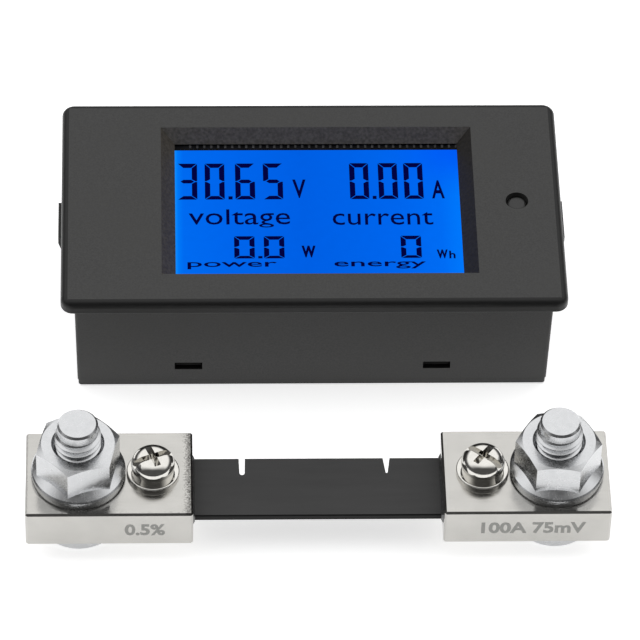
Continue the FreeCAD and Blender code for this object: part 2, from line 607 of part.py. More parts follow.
def rear_cover():
    """Back plate with a locating rim, four snap arms, a terminal opening and a label recess."""
    plate = centred_box(CASE_BACK_LENGTH - 2 * COVER_STEP, CASE_BACK_DEPTH - 2 * COVER_STEP,
                        0, COVER_THICKNESS)
    plate = plate.makeFillet(CASE_CORNER, upright_edges(plate))
    plate = plate.makeChamfer(0.3, edges_at(plate, 0))
    rim_top = COVER_THICKNESS + COVER_RIM_HEIGHT
    rim_length = CAVITY_LENGTH - 2 * FIT_GAP
    rim_depth = CAVITY_DEPTH - 2 * FIT_GAP
    rim = centred_box(rim_length, rim_depth, COVER_THICKNESS, rim_top)
    rim = rim.cut(centred_box(rim_length - 2 * COVER_RIM_THICKNESS,
                              rim_depth - 2 * COVER_RIM_THICKNESS, 0, rim_top + 1))
    cover = joined([plate, rim] + [snap_arm(x, y) for x in (-SNAP_X, SNAP_X) for y in (-1, 1)])
    opening_length = TERMINAL_BLOCK_LENGTH + 2 * FIT_GAP
    opening_depth = TERMINAL_LENGTH + 2 * FIT_GAP
    cover = cover.cut(centred_box(opening_length, opening_depth, -1, rim_top + 1, y=TERMINAL_Y))
    return cover.cut(centred_box(LABEL_LENGTH + 0.4, LABEL_DEPTH + 0.4, -1, LABEL_RECESS,
                                 y=LABEL_Y))


def snap_arm(x, side):
    """Arm inside the long wall whose hook stands in the snap window."""
    y_out = CAVITY_DEPTH / 2 - FIT_GAP
    y_in = y_out - SNAP_TAB_THICKNESS
    half = SNAP_WINDOW_LENGTH / 2 - FIT_GAP
    top = SNAP_WINDOW_Z + SNAP_WINDOW_HEIGHT - FIT_GAP
    arm = box(-half, half, y_in, y_out, COVER_THICKNESS, top)
    low = SNAP_WINDOW_Z + FIT_GAP
    tip = y_out + FIT_GAP + SNAP_HOOK
    corners = [(y_out, low), (tip, low), (tip, low + 0.4), (y_out, top)]
    points = [FreeCAD.Vector(-half, y, z) for y, z in corners]
    hook = Part.Face(Part.makePolygon(points + [points[0]])).extrude(FreeCAD.Vector(2 * half, 0, 0))
    arm = arm.fuse(hook)
    if side < 0:
        arm.rotate(ORIGIN, UP, 180)
    return placed(arm, x)


def rear_label():
    """Thin blank rating label in its recess."""
    label = centred_box(LABEL_LENGTH, LABEL_DEPTH, LABEL_RECESS - LABEL_THICKNESS, LABEL_RECESS,
                        y=LABEL_Y)
    return label.makeFillet(1.0, upright_edges(label))


def lcd_film():
    """Front polariser: the lit area of the display."""
    x = WINDOW_INNER_LENGTH / 2 + LCD_MARGIN / 3
    y_low = WINDOW_Y - WINDOW_INNER_DEPTH / 2 - LCD_MARGIN / 3
    y_high = WINDOW_Y + WINDOW_INNER_DEPTH / 2 - LCD_LEDGE
    return box(WINDOW_X - x, WINDOW_X + x, y_low, y_high, GLASS_TOP, LCD_TOP)


def lcd_glass():
    return centred_box(GLASS_LENGTH, GLASS_DEPTH, GLASS_BOTTOM, GLASS_TOP, WINDOW_X, WINDOW_Y)


def lcd_backlight():
    """Acrylic light guide under the glass."""
    inset = 2 * (LCD_FRAME_WALL + FIT_GAP)
    return centred_box(GLASS_LENGTH - inset, GLASS_DEPTH - inset, GLASS_BOTTOM - LCD_BACKLIGHT,
                       GLASS_BOTTOM, WINDOW_X, WINDOW_Y)


def lcd_frame():
    """Black tray that stands on the board and carries the glass and its backlight."""
    tray = centred_box(GLASS_LENGTH, GLASS_DEPTH, BOARD_TOP, GLASS_BOTTOM, WINDOW_X, WINDOW_Y)
    inner_length = GLASS_LENGTH - 2 * LCD_FRAME_WALL
    inner_depth = GLASS_DEPTH - 2 * LCD_FRAME_WALL
    shelf = GLASS_BOTTOM - LCD_BACKLIGHT
    tray = tray.cut(centred_box(inner_length, inner_depth, shelf, GLASS_BOTTOM + 1,
                                WINDOW_X, WINDOW_Y))
    return tray.cut(centred_box(inner_length, inner_depth, BOARD_TOP - 1,
                                shelf - LCD_FRAME_WALL, WINDOW_X, WINDOW_Y))


def lcd_pin_xs():
    first = WINDOW_X - GLASS_LENGTH / 2 + LCD_PIN_START
    return [first + index * LCD_PIN_PITCH for index in range(LCD_PINS)]


def lcd_pins():
    """Row of clips that grip the edge of the glass and go down into the board."""
    y_edge = WINDOW_Y + GLASS_DEPTH / 2
    y_tip = WINDOW_Y + WINDOW_INNER_DEPTH / 2 - LCD_LEDGE * 0.55
    wire = LCD_PIN_WIRE
    pins = []
    for x in lcd_pin_xs():
        low, high = x - LCD_PIN_WIDTH / 2, x + LCD_PIN_WIDTH / 2
        finger = box(low, high, y_tip, y_edge + 2 * wire, GLASS_TOP, GLASS_TOP + wire / 2)
        leg = box(low, high, y_edge, y_edge + 2 * wire, BOARD_Z - 1, GLASS_TOP + wire / 2)
        pins.append(finger.fuse(leg).removeSplitter())
    return Part.makeCompound(pins)


def main_board():
    board = centred_box(BOARD_LENGTH, BOARD_DEPTH, BOARD_Z, BOARD_TOP)
    for x, y in board_screw_places():
        board = board.cut(cylinder(BOARD_SCREW_DIAMETER + 1, 0, METER_HEIGHT, x, y))
    y_edge = WINDOW_Y + GLASS_DEPTH / 2
    pin_xs = lcd_pin_xs()
    side = LCD_PIN_WIDTH
    return board.cut(box(pin_xs[0] - side, pin_xs[-1] + side, y_edge - 0.1, y_edge + 0.5,
                         0, METER_HEIGHT))


def board_screws():
    """Four self-tapping screws that hold the board against its posts."""
    head_low = BOARD_Z - BOARD_SCREW_HEAD_HEIGHT
    screws = []
    for x, y in board_screw_places():
        head = cylinder(BOARD_SCREW_HEAD, head_low, BOARD_Z)
        head = head.makeFillet(0.5, edges_at(head, head_low))
        head = head.cut(upside_down(cross_recess(2.6, 0.6, 0.9, -head_low, 0)))
        shank = cylinder(BOARD_SCREW_DIAMETER, BOARD_Z, BOARD_TOP + BOARD_SCREW_LENGTH)
        screws.append(placed(head.fuse(shank), x, y))
    return Part.makeCompound(screws)


def switch_body():
    body = centred_box(SWITCH_SIDE, SWITCH_SIDE, BOARD_TOP, BOARD_TOP + SWITCH_HEIGHT, BUTTON_X)
    bore = cylinder(PLUNGER_DIAMETER + 2 * THREAD_CLEARANCE, BOARD_TOP + 1,
                    METER_HEIGHT, x=BUTTON_X)
    return body.cut(bore)


def switch_plunger():
    low = BOARD_TOP + 1 + BUTTON_TRAVEL + 0.2
    return cylinder(PLUNGER_DIAMETER, low, button_foot(), x=BUTTON_X)


def button_foot():
    return BOARD_TOP + SWITCH_HEIGHT + BUTTON_TRAVEL + 1.0


def button_cap():
    """Round cap, with a flange that keeps it behind the front wall."""
    flange_top = CEILING - 0.3
    flange_low = flange_top - BUTTON_FLANGE_THICKNESS
    top = METER_HEIGHT - BUTTON_RECESS
    radius = BUTTON_DIAMETER / 2
    foot_radius = PLUNGER_DIAMETER / 2 + 0.5
    return placed(revolved([(0, button_foot()), (foot_radius, button_foot()),
                            (foot_radius, flange_low), (BUTTON_FLANGE / 2, flange_low),
                            (BUTTON_FLANGE / 2, flange_top), (radius, flange_top),
                            (radius, top - 0.35), (radius - 0.12, top - 0.12),
                            (radius - 0.4, top), (0, top)]), BUTTON_X)


def chip(length, depth, height, x, y, leads, lead_pitch):
    """Black chip under the board with a row of leads along each long side."""
    body = centred_box(length, depth, BOARD_Z - 0.15 - height, BOARD_Z - 0.15, x, y)
    solids = [body]
    for index in range(leads):
        lead_x = x + (index - (leads - 1) / 2) * lead_pitch
        for side in (-1, 1):
            low, high = sorted((y + side * depth / 2, y + side * (depth / 2 + 0.9)))
            solids.append(box(lead_x - 0.15, lead_x + 0.15, low, high, BOARD_Z - 0.3, BOARD_Z))
    return solids


def microcontroller():
    x = -(TERMINAL_BLOCK_LENGTH / 2 + CONTROLLER_GAP + CONTROLLER_LENGTH / 2)
    return Part.makeCompound(chip(CONTROLLER_LENGTH, CONTROLLER_DEPTH, 1.4, x, 4.0, 14, 0.8))


def small_chips():
    """Sense amplifier, memory chip and voltage regulator."""
    solids = chip(5.0, 4.0, 1.4, -25.0, -9.0, 4, 1.27)
    solids += chip(5.0, 4.0, 1.4, -13.0, -9.0, 4, 1.27)
    solids += chip(6.5, 3.6, 1.5, 26.0, -9.0, 3, 2.3)
    return Part.makeCompound(solids)


def capacitors():
    """Two radial cans with a rounded foot."""
    x = TERMINAL_BLOCK_LENGTH / 2 + CAPACITOR_GAP + CAPACITOR_DIAMETER / 2
    foot = COVER_THICKNESS + CAPACITOR_HEADROOM
    cans = []
    for y in (2.5, 11.5):
        can = cylinder(CAPACITOR_DIAMETER, foot, BOARD_Z, x, y)
        cans.append(can.makeFillet(0.5, edges_at(can, foot)))
    return Part.makeCompound(cans)


def crystal():
    can = centred_box(10.5, 4.2, BOARD_Z - 3.4, BOARD_Z, 7.0, -10.0)
    return can.makeFillet(1.8, upright_edges(can))


def chip_resistors():
    """Two rows of surface-mounted resistors."""
    return Part.makeCompound([centred_box(2.0, 1.25, BOARD_Z - 0.5, BOARD_Z, x, y)
                              for x in (-7.0, -3.5, 14.5, 18.0) for y in (-15.0, -12.0, -5.0)])


def terminal_xs():
    return [(index - (TERMINALS - 1) / 2) * TERMINAL_PITCH for index in range(TERMINALS)]


def terminal_housing():
    """Barrier strip on the back of the board: one chamber for each wire."""
    y_low = TERMINAL_Y - TERMINAL_LENGTH / 2
    y_high = TERMINAL_Y + TERMINAL_LENGTH / 2
    half = TERMINAL_BLOCK_LENGTH / 2
    body = box(-half, half, y_low, y_high, TERMINAL_RECESS, BOARD_Z)
    for x in terminal_xs():
        body = body.cut(box(x - TERMINAL_CHAMBER / 2, x + TERMINAL_CHAMBER / 2,
                            y_low + TERMINAL_BARRIER,
                            y_high - TERMINAL_BARRIER, TERMINAL_RECESS - 1, TERMINAL_BASE_Z))
        body = body.cut(cylinder(TERMINAL_SCREW_MAJOR + 2 * THREAD_CLEARANCE, TERMINAL_BASE_Z - 1,
                                 TERMINAL_BASE_Z + 2.4, x, TERMINAL_SCREW_Y))
    return body


def terminal_plates():
    """Four brass plates on the floors of the chambers."""
    side = TERMINAL_PLATE_SIDE
    plates = []
    for x in terminal_xs():
        plate = centred_box(side, side, TERMINAL_BASE_Z - TERMINAL_PLATE, TERMINAL_BASE_Z,
                            x, TERMINAL_SCREW_Y)
        plates.append(plate.cut(cylinder(TERMINAL_SCREW_MAJOR + 2 * THREAD_CLEARANCE, 0,
                                         METER_HEIGHT, x, TERMINAL_SCREW_Y)))
    return Part.makeCompound(plates)


def terminal_clamp(x):
    """Square washer that the screw draws down on the wire."""
    side = TERMINAL_PLATE_SIDE - 2 * FIT_GAP
    clamp = centred_box(side, side, CLAMP_Z, CLAMP_Z + TERMINAL_CLAMP, x, TERMINAL_SCREW_Y)
    return clamp.cut(cylinder(TERMINAL_SCREW_MAJOR + 2 * HOLE_CLEARANCE, 0, METER_HEIGHT,
                              x, TERMINAL_SCREW_Y))


def terminal_screw(x):
    low = CLAMP_Z - TERMINAL_SCREW_HEAD_HEIGHT
    head = cylinder(TERMINAL_SCREW_HEAD, low, CLAMP_Z)
    head = head.makeFillet(0.6, edges_at(head, low))
    head = head.cut(upside_down(cross_recess(3.4, TERMINAL_SCREW_SLOT, 1.4, -low, 45)))
    shank = cylinder(TERMINAL_SCREW_MAJOR, CLAMP_Z, CLAMP_Z + TERMINAL_SCREW_SHANK)
    return placed(head.fuse(shank), x, TERMINAL_SCREW_Y)


def meter_pieces():
    pieces = {
        "front_housing": front_housing(),
        "rear_cover": rear_cover(),
        "rear_label": rear_label(),
        "panel_clip_left": panel_clip(-1),
        "panel_clip_right": panel_clip(1),
        "lcd_film": lcd_film(),
        "lcd_glass": lcd_glass(),
        "lcd_backlight": lcd_backlight(),
        "lcd_frame": lcd_frame(),
        "lcd_pins": lcd_pins(),
        "main_board": main_board(),
        "board_screws": board_screws(),
        "switch_body": switch_body(),
        "switch_plunger": switch_plunger(),
        "button_cap": button_cap(),
        "microcontroller": microcontroller(),
        "small_chips": small_chips(),
        "capacitors": capacitors(),
        "crystal": crystal(),
        "chip_resistors": chip_resistors(),
        "terminal_housing": terminal_housing(),
        "terminal_plates": terminal_plates(),
    }
    for number, x in enumerate(terminal_xs(), start=1):
        pieces[f"terminal_clamp_{number}"] = terminal_clamp(x)
        pieces[f"terminal_screw_{number}"] = terminal_screw(x)
    return {name: placed(shape, 0, METER_Y) for name, shape in pieces.items()}


def main():
    os.makedirs("parts", exist_ok=True)
    for name, shape in {**shunt_pieces(), **meter_pieces()}.items():
        if not shape.isValid() or not shape.Solids:
            raise ValueError(f"{name} is not a valid solid")
        shape.exportStep(os.path.join("parts", name + ".step"))
        box_size = shape.BoundBox
        print(f"{name:24s} solids {len(shape.Solids):3d}  volume {shape.Volume:10.2f}"
              f"  x {box_size.XMin:7.2f} {box_size.XMax:7.2f}"
              f"  y {box_size.YMin:7.2f} {box_size.YMax:7.2f}"
              f"  z {box_size.ZMin:6.2f} {box_size.ZMax:6.2f}")


main()
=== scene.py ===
# %% [markdown]
# # A battery monitor and its shunt
#
# This lesson dresses a finished CAD model of two things that are sold as one set. The first is a
# panel meter that lies on its back with its display lit. The second is a current shunt, which is
# two plated brass blocks joined by a black strip of resistance metal.
#
# The CAD model fixes every size. Blender adds what the CAD can't hold: the finish of each
# material, the marks on the display, the etched marks on the blocks, the light and the camera.

# %% Load the CAD model
import json
import math

import bmesh
import bpy
from mathutils import Matrix, Vector


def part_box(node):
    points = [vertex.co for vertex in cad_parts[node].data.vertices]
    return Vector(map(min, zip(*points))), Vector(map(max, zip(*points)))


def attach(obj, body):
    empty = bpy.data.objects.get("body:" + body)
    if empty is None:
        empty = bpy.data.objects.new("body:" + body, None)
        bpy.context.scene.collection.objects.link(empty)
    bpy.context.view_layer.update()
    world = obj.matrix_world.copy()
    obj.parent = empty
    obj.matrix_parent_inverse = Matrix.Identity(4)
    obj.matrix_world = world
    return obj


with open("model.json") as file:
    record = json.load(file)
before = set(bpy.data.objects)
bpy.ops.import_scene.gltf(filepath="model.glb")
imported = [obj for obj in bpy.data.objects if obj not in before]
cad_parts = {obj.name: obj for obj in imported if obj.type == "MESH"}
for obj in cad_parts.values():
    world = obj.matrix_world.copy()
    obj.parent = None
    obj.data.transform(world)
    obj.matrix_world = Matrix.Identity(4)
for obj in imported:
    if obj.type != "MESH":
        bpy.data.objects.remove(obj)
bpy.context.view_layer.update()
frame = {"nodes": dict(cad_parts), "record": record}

# %% [markdown]
# ## Millimetres and places
#
# Blender works in metres here, but the real sizes of this object are easier to read in
# millimetres. Places come from the boxes of the CAD nodes, so that a change in the CAD moves the
# marks with it.

# %% Sizes and places
MM = 0.001


def middle(node):
    """The centre of a CAD node's box, in metres."""
    low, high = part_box(node)
    return (low + high) / 2


meter_centre = middle("front_housing")
bezel_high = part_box("front_housing")[1]
film_low, film_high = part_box("lcd_film")
print("centre of the meter in mm:", [round(c / MM, 2) for c in meter_centre])

# %% [markdown]
# ## The camera
#
# The set is seen from the front and from well above, through a long lens, which keeps the sides
# of the meter almost parallel. The camera is put in place by three turns about a point on the
# bench: yaw swings it to one side, pitch lifts it, and roll tilts it.

# %% Camera
LENS_MM = 292
LOOKS_AT = Vector((1.3, 1.6, 12.0)) * MM
DISTANCE = 927 * MM
YAW, PITCH, ROLL = (math.radians(a) for a in (2.87, 47.67, 1.89))

turn = (Matrix.Rotation(-YAW, 4, "Z") @ Matrix.Rotation(math.pi / 2 - PITCH, 4, "X")
        @ Matrix.Rotation(ROLL, 4, "Z"))
camera_data = bpy.data.cameras.new("camera")
camera_data.lens = LENS_MM
camera = bpy.data.objects.new("camera", camera_data)
camera.matrix_world = Matrix.Translation(LOOKS_AT + turn @ Vector((0, 0, DISTANCE))) @ turn
bpy.context.scene.collection.objects.link(camera)
bpy.context.scene.camera = camera
print("camera at", [round(c, 3) for c in camera.matrix_world.translation])

# %% [markdown]
# ## Colours and nodes
#
# Colours are chosen as sRGB hex values, as a paint program shows them, but a shader adds up
# light, so it needs linear values. One function turns one into the other. A second function adds
# any node with its settings and its links, so each material reads as a list of what it is made of.

# %% Colours
def linear(colour):
    """An sRGB hex colour as linear RGBA."""
    channels = [int(colour[i:i + 2], 16) / 255 for i in (1, 3, 5)]
    return [c / 12.92 if c <= 0.04045 else ((c + 0.055) / 1.055) ** 2.4 for c in channels] + [1.0]


print("#808080 is", round(linear("#808080")[0], 3), "of full light")

# %% Nodes and materials
FINISHES = {}


def add(tree, kind, inputs=None, **settings):
    """A node of that kind, with its settings, and with links or values on its inputs."""
    node = tree.nodes.new("ShaderNode" + kind)
    for name, value in settings.items():
        setattr(node, name, value)
    for socket, value in (inputs or {}).items():
        if isinstance(value, bpy.types.NodeSocket):
            tree.links.new(value, node.inputs[socket])
        else:
            node.inputs[socket].default_value = value
    return node


def start(slot, name):
    """A material with no nodes yet, kept under the CAD's name for that finish."""
    material = bpy.data.materials.new(name)
    material.use_nodes = True
    material.node_tree.nodes.clear()
    FINISHES[slot] = material
    print("material", name)
    return material.node_tree


def per_metre(size_mm):
    """The scale that makes a pattern repeat once in size_mm."""
    return 1 / (size_mm * MM)


print("a pattern of 1 mm has a scale of", per_metre(1))


# %% [markdown]
# ## The case: black ABS
#
# The bezel and walls are black ABS, moulded in a steel tool with a spark-eroded surface. That
# surface scatters light, so the plastic looks dark grey and quite dull, with a fine grain. The
# rounded edge of the bezel was left smooth in the tool, so it is glossier, and it is painted near
# black, as a painted reflection of the dark room. The real grain is about 0.1 mm, and it is drawn
# at 0.3 mm, because it would be too fine to show.
#
# The plastic in and behind the four snap windows in the walls is painted dark, as painted shade, so
# the windows read as holes; a box-shaped mask picks it out. The sloping frame of the display has a
# coarser grain than the face, and each of its four sides has its own painted tone of light and
# shade, which a mask by the direction of the surface gives. The walls are painted a little darker
# than the bezel, as painted shade.

# %% Case plastic
GRAIN_MM = 0.3
MOTTLE_MM = 14
BEZEL_EDGE_MM = 1.25
BEZEL_MASK_MM = 2.62                                   # a hair more than the bezel's 2.6 mm
SNAP_WINDOW = {"x": (22.2, 2.5), "z": (5.4, 1.0)}      # centre and half size, mm
CASE_HALF_DEPTH_MM = 22.3

tree = start("case_plastic", "abs_black_spark_eroded")
place = add(tree, "TexCoord").outputs["Object"]
grain = add(tree, "TexNoise", {"Vector": place, "Scale": per_metre(GRAIN_MM), "Detail": 2.0})
mottle = add(tree, "TexNoise", {"Vector": place, "Scale": per_metre(MOTTLE_MM), "Detail": 2.0})
grain_amount = add(tree, "MapRange", {"Value": grain.outputs[0], "From Min": 0.3, "From Max": 0.7})
textured = add(tree, "Mix", {0: grain_amount.outputs[0], 6: linear("#3D3D3D"),
                             7: linear("#4D4D4D")}, data_type="RGBA")
mottled = add(tree, "Mix", {0: mottle.outputs[0], 6: textured.outputs[2],
                            7: linear("#464645")}, data_type="RGBA")

# %% Case plastic: masks for the smooth edge, painted dark, and for the painted shade in the snap windows
apart = add(tree, "SeparateXYZ", {0: place}).outputs
from_middle = add(tree, "Math", {0: apart["Y"], 1: meter_centre.y}, operation="SUBTRACT")
depth_out = add(tree, "Math", {0: from_middle.outputs[0]}, operation="ABSOLUTE").outputs[0]
length_out = add(tree, "Math", {0: apart["X"]}, operation="ABSOLUTE").outputs[0]
edge_y = add(tree, "Math", {0: depth_out, 1: bezel_high.y - meter_centre.y - BEZEL_EDGE_MM * MM},
             operation="GREATER_THAN")
edge_x = add(tree, "Math", {0: length_out, 1: bezel_high.x - BEZEL_EDGE_MM * MM},
             operation="GREATER_THAN")
near_edge = add(tree, "Math", {0: edge_x.outputs[0], 1: edge_y.outputs[0]}, operation="MAXIMUM")
on_bezel = add(tree, "Math", {0: apart["Z"], 1: bezel_high.z - BEZEL_MASK_MM * MM},
               operation="GREATER_THAN")
smooth = add(tree, "Math", {0: near_edge.outputs[0], 1: on_bezel.outputs[0]},
             operation="MULTIPLY").outputs[0]
# Painted reflection: the smooth rounded edge of the bezel is painted near black for the dark room
# it reflects.
painted_dark_edge = add(tree, "Mix", {0: smooth, 6: mottled.outputs[2], 7: linear("#202020")},
            data_type="RGBA")
in_x = add(tree, "Math", {0: length_out, 1: SNAP_WINDOW["x"][0] * MM,
                          2: SNAP_WINDOW["x"][1] * MM}, operation="COMPARE")
in_z = add(tree, "Math", {0: apart["Z"], 1: SNAP_WINDOW["z"][0] * MM,
                          2: SNAP_WINDOW["z"][1] * MM}, operation="COMPARE")
in_y = add(tree, "Math", {0: depth_out, 1: CASE_HALF_DEPTH_MM * MM}, operation="LESS_THAN")
in_xz = add(tree, "Math", {0: in_x.outputs[0], 1: in_z.outputs[0]}, operation="MULTIPLY")
painted_window_shade = add(tree, "Math", {0: in_xz.outputs[0], 1: in_y.outputs[0]}, operation="MULTIPLY")
# Painted shade: everything below the bezel, which is the walls, is darkened to 0.82 of its tone.
painted_wall_shade = add(tree, "MapRange", {"Value": on_bezel.outputs[0], "To Min": 0.82, "To Max": 1.0})
wall_shaded = add(tree, "Mix", {0: 1.0, 6: painted_dark_edge.outputs[2], 7: painted_wall_shade.outputs[0]},
            data_type="RGBA", blend_type="MULTIPLY")
# Painted shade: the plastic in the snap windows is painted #1A1A1A, so they read as holes.
shaded = add(tree, "Mix", {0: painted_window_shade.outputs[0], 6: wall_shaded.outputs[2], 7: linear("#1A1A1A")},
             data_type="RGBA")
print("masks: a smooth edge", BEZEL_EDGE_MM, "mm wide, and windows", SNAP_WINDOW)

# %% Case plastic: the sloping frame of the display, with painted light and shade on each side
COARSE_MM = 0.55
SLOPE_Z = {1: 0.5, 2: 0.45}                            # middle and half range of a slope's normal z
FACES_THERE = 0.3                                      # least part of the normal along its axis
# Painted light and shade: each of the four sides of the frame gets its own tone by the way it
# faces.
PAINTED_SLOPE_SHADES = (("X", 1, "#46423C"), ("X", -1, "#2A2825"), ("Y", -1, "#5E5B56"), ("Y", 1, "#4A443A"))

normal = add(tree, "SeparateXYZ", {0: add(tree, "TexCoord").outputs["Normal"]}).outputs
sloping = add(tree, "Math", {0: normal["Z"], **SLOPE_Z}, operation="COMPARE")
inside = add(tree, "Math", {0: on_bezel.outputs[0], 1: near_edge.outputs[0]},
             operation="SUBTRACT")
in_frame = add(tree, "Math", {0: sloping.outputs[0], 1: inside.outputs[0]},
               operation="MULTIPLY", use_clamp=True).outputs[0]
coarse = add(tree, "TexNoise", {"Vector": place, "Scale": per_metre(COARSE_MM), "Detail": 2.0})
coarse_amount = add(tree, "MapRange", {"Value": coarse.outputs[0], "From Min": 0.3,
                                       "From Max": 0.7, "To Min": 0.72, "To Max": 1.28})
# Each side is painted in its own tone, as painted light and shade.
for axis, direction, tone in PAINTED_SLOPE_SHADES:
    leaning = add(tree, "Math", {0: normal[axis], 1: direction}, operation="MULTIPLY")
    this_side = add(tree, "Math", {0: leaning.outputs[0], 1: FACES_THERE},
                    operation="GREATER_THAN")
    here = add(tree, "Math", {0: this_side.outputs[0], 1: in_frame}, operation="MULTIPLY")
    speckled = add(tree, "Mix", {0: 1.0, 6: linear(tone), 7: coarse_amount.outputs[0]},
                   data_type="RGBA", blend_type="MULTIPLY")
    shaded = add(tree, "Mix", {0: here.outputs[0], 6: shaded.outputs[2],
                               7: speckled.outputs[2]}, data_type="RGBA")
print("tones of the sloping frame:", [tone for _, _, tone in PAINTED_SLOPE_SHADES])

# %% Case plastic: the surface
roughness = add(tree, "MapRange", {"Value": smooth, "To Min": 0.52, "To Max": 0.36})
bump = add(tree, "Bump", {"Height": grain.outputs[0], "Strength": 0.35, "Distance": 0.03 * MM})
shader = add(tree, "BsdfPrincipled", {"Base Color": shaded.outputs[2],
                                      "Roughness": roughness.outputs[0], "IOR": 1.54,
                                      "Specular IOR Level": 0.2,
                                      "Normal": bump.outputs[0]})
add(tree, "OutputMaterial", {"Surface": shader.outputs[0]})
print("the case plastic has", len(tree.nodes), "nodes")

# %% [markdown]
# ## The button: smoother ABS
#
# The button cap is the same plastic from a polished tool, so it has no grain, and a faint sheen.
# Fingers leave it a little uneven, which a slow noise in the roughness gives.

# %% Button plastic
tree = start("button_plastic", "abs_black_polished")
place = add(tree, "TexCoord").outputs["Object"]
touch = add(tree, "TexNoise", {"Vector": place, "Scale": per_metre(1.2), "Detail": 3.0})
colour = add(tree, "Mix", {0: touch.outputs[0], 6: linear("#2C2C2C"), 7: linear("#3A3A3A")},
             data_type="RGBA")
roughness = add(tree, "MapRange", {"Value": touch.outputs[0], "To Min": 0.3, "To Max": 0.5})
shader = add(tree, "BsdfPrincipled", {"Base Color": colour.outputs[2], "IOR": 1.54,
                                      "Roughness": roughness.outputs[0],
                                      "Specular IOR Level": 0.3})
add(tree, "OutputMaterial", {"Surface": shader.outputs[0]})

# %% [markdown]
# ## The display: a backlit film
#
# The lit area is a sheet of polariser over a blue light guide. The lamps sit at the two ends, so
# the blue is brightest there and deepest in the middle. It gives off its own light, so the
# colour goes on the emission socket, and the surface itself is nearly black and barely glossy.
# A ramp along the display makes the slow change, and a fine noise stands for the film's haze.

# %% Display film
GLOW = ((0.0, "#1090FF"), (0.012, "#0078F8"), (0.03, "#006AF0"), (0.2, "#0065EC"),
        (0.45, "#005FE4"), (0.62, "#0062E8"), (0.8, "#0066EE"), (0.93, "#006CF4"),
        (1.0, "#0078FC"))
FILM_MARGIN_MM = 0.8                                   # the ramp starts this far in from each end

tree = start("lcd_film", "polariser_backlit_blue")
place = add(tree, "TexCoord").outputs["Object"]
apart = add(tree, "SeparateXYZ", {0: place}).outputs
across = add(tree, "MapRange", {"Value": apart["X"], "From Min": film_low.x + FILM_MARGIN_MM * MM,
                                "From Max": film_high.x - FILM_MARGIN_MM * MM}).outputs[0]
up = add(tree, "MapRange", {"Value": apart["Y"], "From Min": film_low.y,
                            "From Max": film_high.y}).outputs[0]
ramp = add(tree, "ValToRGB", {"Fac": across})
stops = ramp.color_ramp.elements
for position, _ in GLOW[1:-1]:
    stops.new(position)
for stop, (_, colour) in zip(stops, GLOW):
    stop.color = linear(colour)
right = add(tree, "MapRange", {"Value": across, "From Min": 0.7, "From Max": 1.0},
            interpolation_type="SMOOTHSTEP")
top = add(tree, "MapRange", {"Value": up, "From Min": 0.6, "From Max": 1.0},
          interpolation_type="SMOOTHSTEP")
corner = add(tree, "Math", {0: right.outputs[0], 1: top.outputs[0]}, operation="MULTIPLY")
cornered = add(tree, "Mix", {0: corner.outputs[0], 6: ramp.outputs[0], 7: linear("#005CF6")},
               data_type="RGBA")

# %% Display film: haze, and the surface
HAZE_MM = 1.5

haze = add(tree, "TexNoise", {"Vector": place, "Scale": per_metre(HAZE_MM), "Detail": 2.0})
haze_amount = add(tree, "MapRange", {"Value": haze.outputs[0], "To Min": 0.97, "To Max": 1.03})
glow = add(tree, "Mix", {0: 1.0, 6: cornered.outputs[2], 7: haze_amount.outputs[0]},
           data_type="RGBA", blend_type="MULTIPLY")
shader = add(tree, "BsdfPrincipled", {"Base Color": linear("#000008"), "Roughness": 0.4,
                                      "IOR": 1.49, "Specular IOR Level": 0.0,
                                      "Emission Color": glow.outputs[2],
                                      "Emission Strength": 1.0})
add(tree, "OutputMaterial", {"Surface": shader.outputs[0]})
print("the glow has", len(GLOW), "stops")

# %% [markdown]
# ## The display's glass and contacts
#
# The far edge of the glass has no film. It is a ledge where the contact clips grip, and it is
# printed black, with tracks that barely show. The clips are tinned spring wire. They lie in the
# shadow of the window, and that shade is painted into their colour, which is much darker than tin.

# %% Display glass, and the contact clips
TRACK_MM = 0.64

tree = start("lcd_glass", "glass_black_printed_ledge")
place = add(tree, "TexCoord").outputs["Object"]
tracks = add(tree, "TexWave", {"Vector": place, "Scale": per_metre(TRACK_MM) / 20,
                               "Distortion": 0.4}, bands_direction="X")
colour = add(tree, "Mix", {0: tracks.outputs[1], 6: linear("#050608"), 7: linear("#101114")},
             data_type="RGBA")
shader = add(tree, "BsdfPrincipled", {"Base Color": colour.outputs[2], "Roughness": 0.35,
                                      "IOR": 1.52, "Specular IOR Level": 0.05})
add(tree, "OutputMaterial", {"Surface": shader.outputs[0]})

tree = start("pin_metal", "spring_wire_tinned")
place = add(tree, "TexCoord").outputs["Object"]
shaded_tin_noise = add(tree, "TexNoise", {"Vector": place, "Scale": per_metre(0.8), "Detail": 2.0})
# Painted shade: the tin is darkened to stand for the shadow of the window.
colour = add(tree, "Mix", {0: shaded_tin_noise.outputs[0], 6: linear("#1A1A1B"), 7: linear("#58585A")},
             data_type="RGBA")
shader = add(tree, "BsdfPrincipled", {"Base Color": colour.outputs[2], "Metallic": 1.0,
                                      "Roughness": 0.45})
add(tree, "OutputMaterial", {"Surface": shader.outputs[0]})

# %% [markdown]
# ## The blocks: nickel plating on milled brass
#
# Each block is milled from brass bar and barrel-plated with nickel. Nickel is a slightly warm
# grey metal. The plating keeps the faint lines of the saw and the mill, so reflections are
# clear but soft. On the left-hand block, the heat and flux of soldering have left a dark,
# speckled stain beside the joint, and its top is a little darker and speckled along the front
# edge. Masks that fade over two or three millimetres and a fine noise draw them.

# %% Nickel-plated blocks
MILL_LINE_MM = 0.5
SPECKLE_MM = 0.28

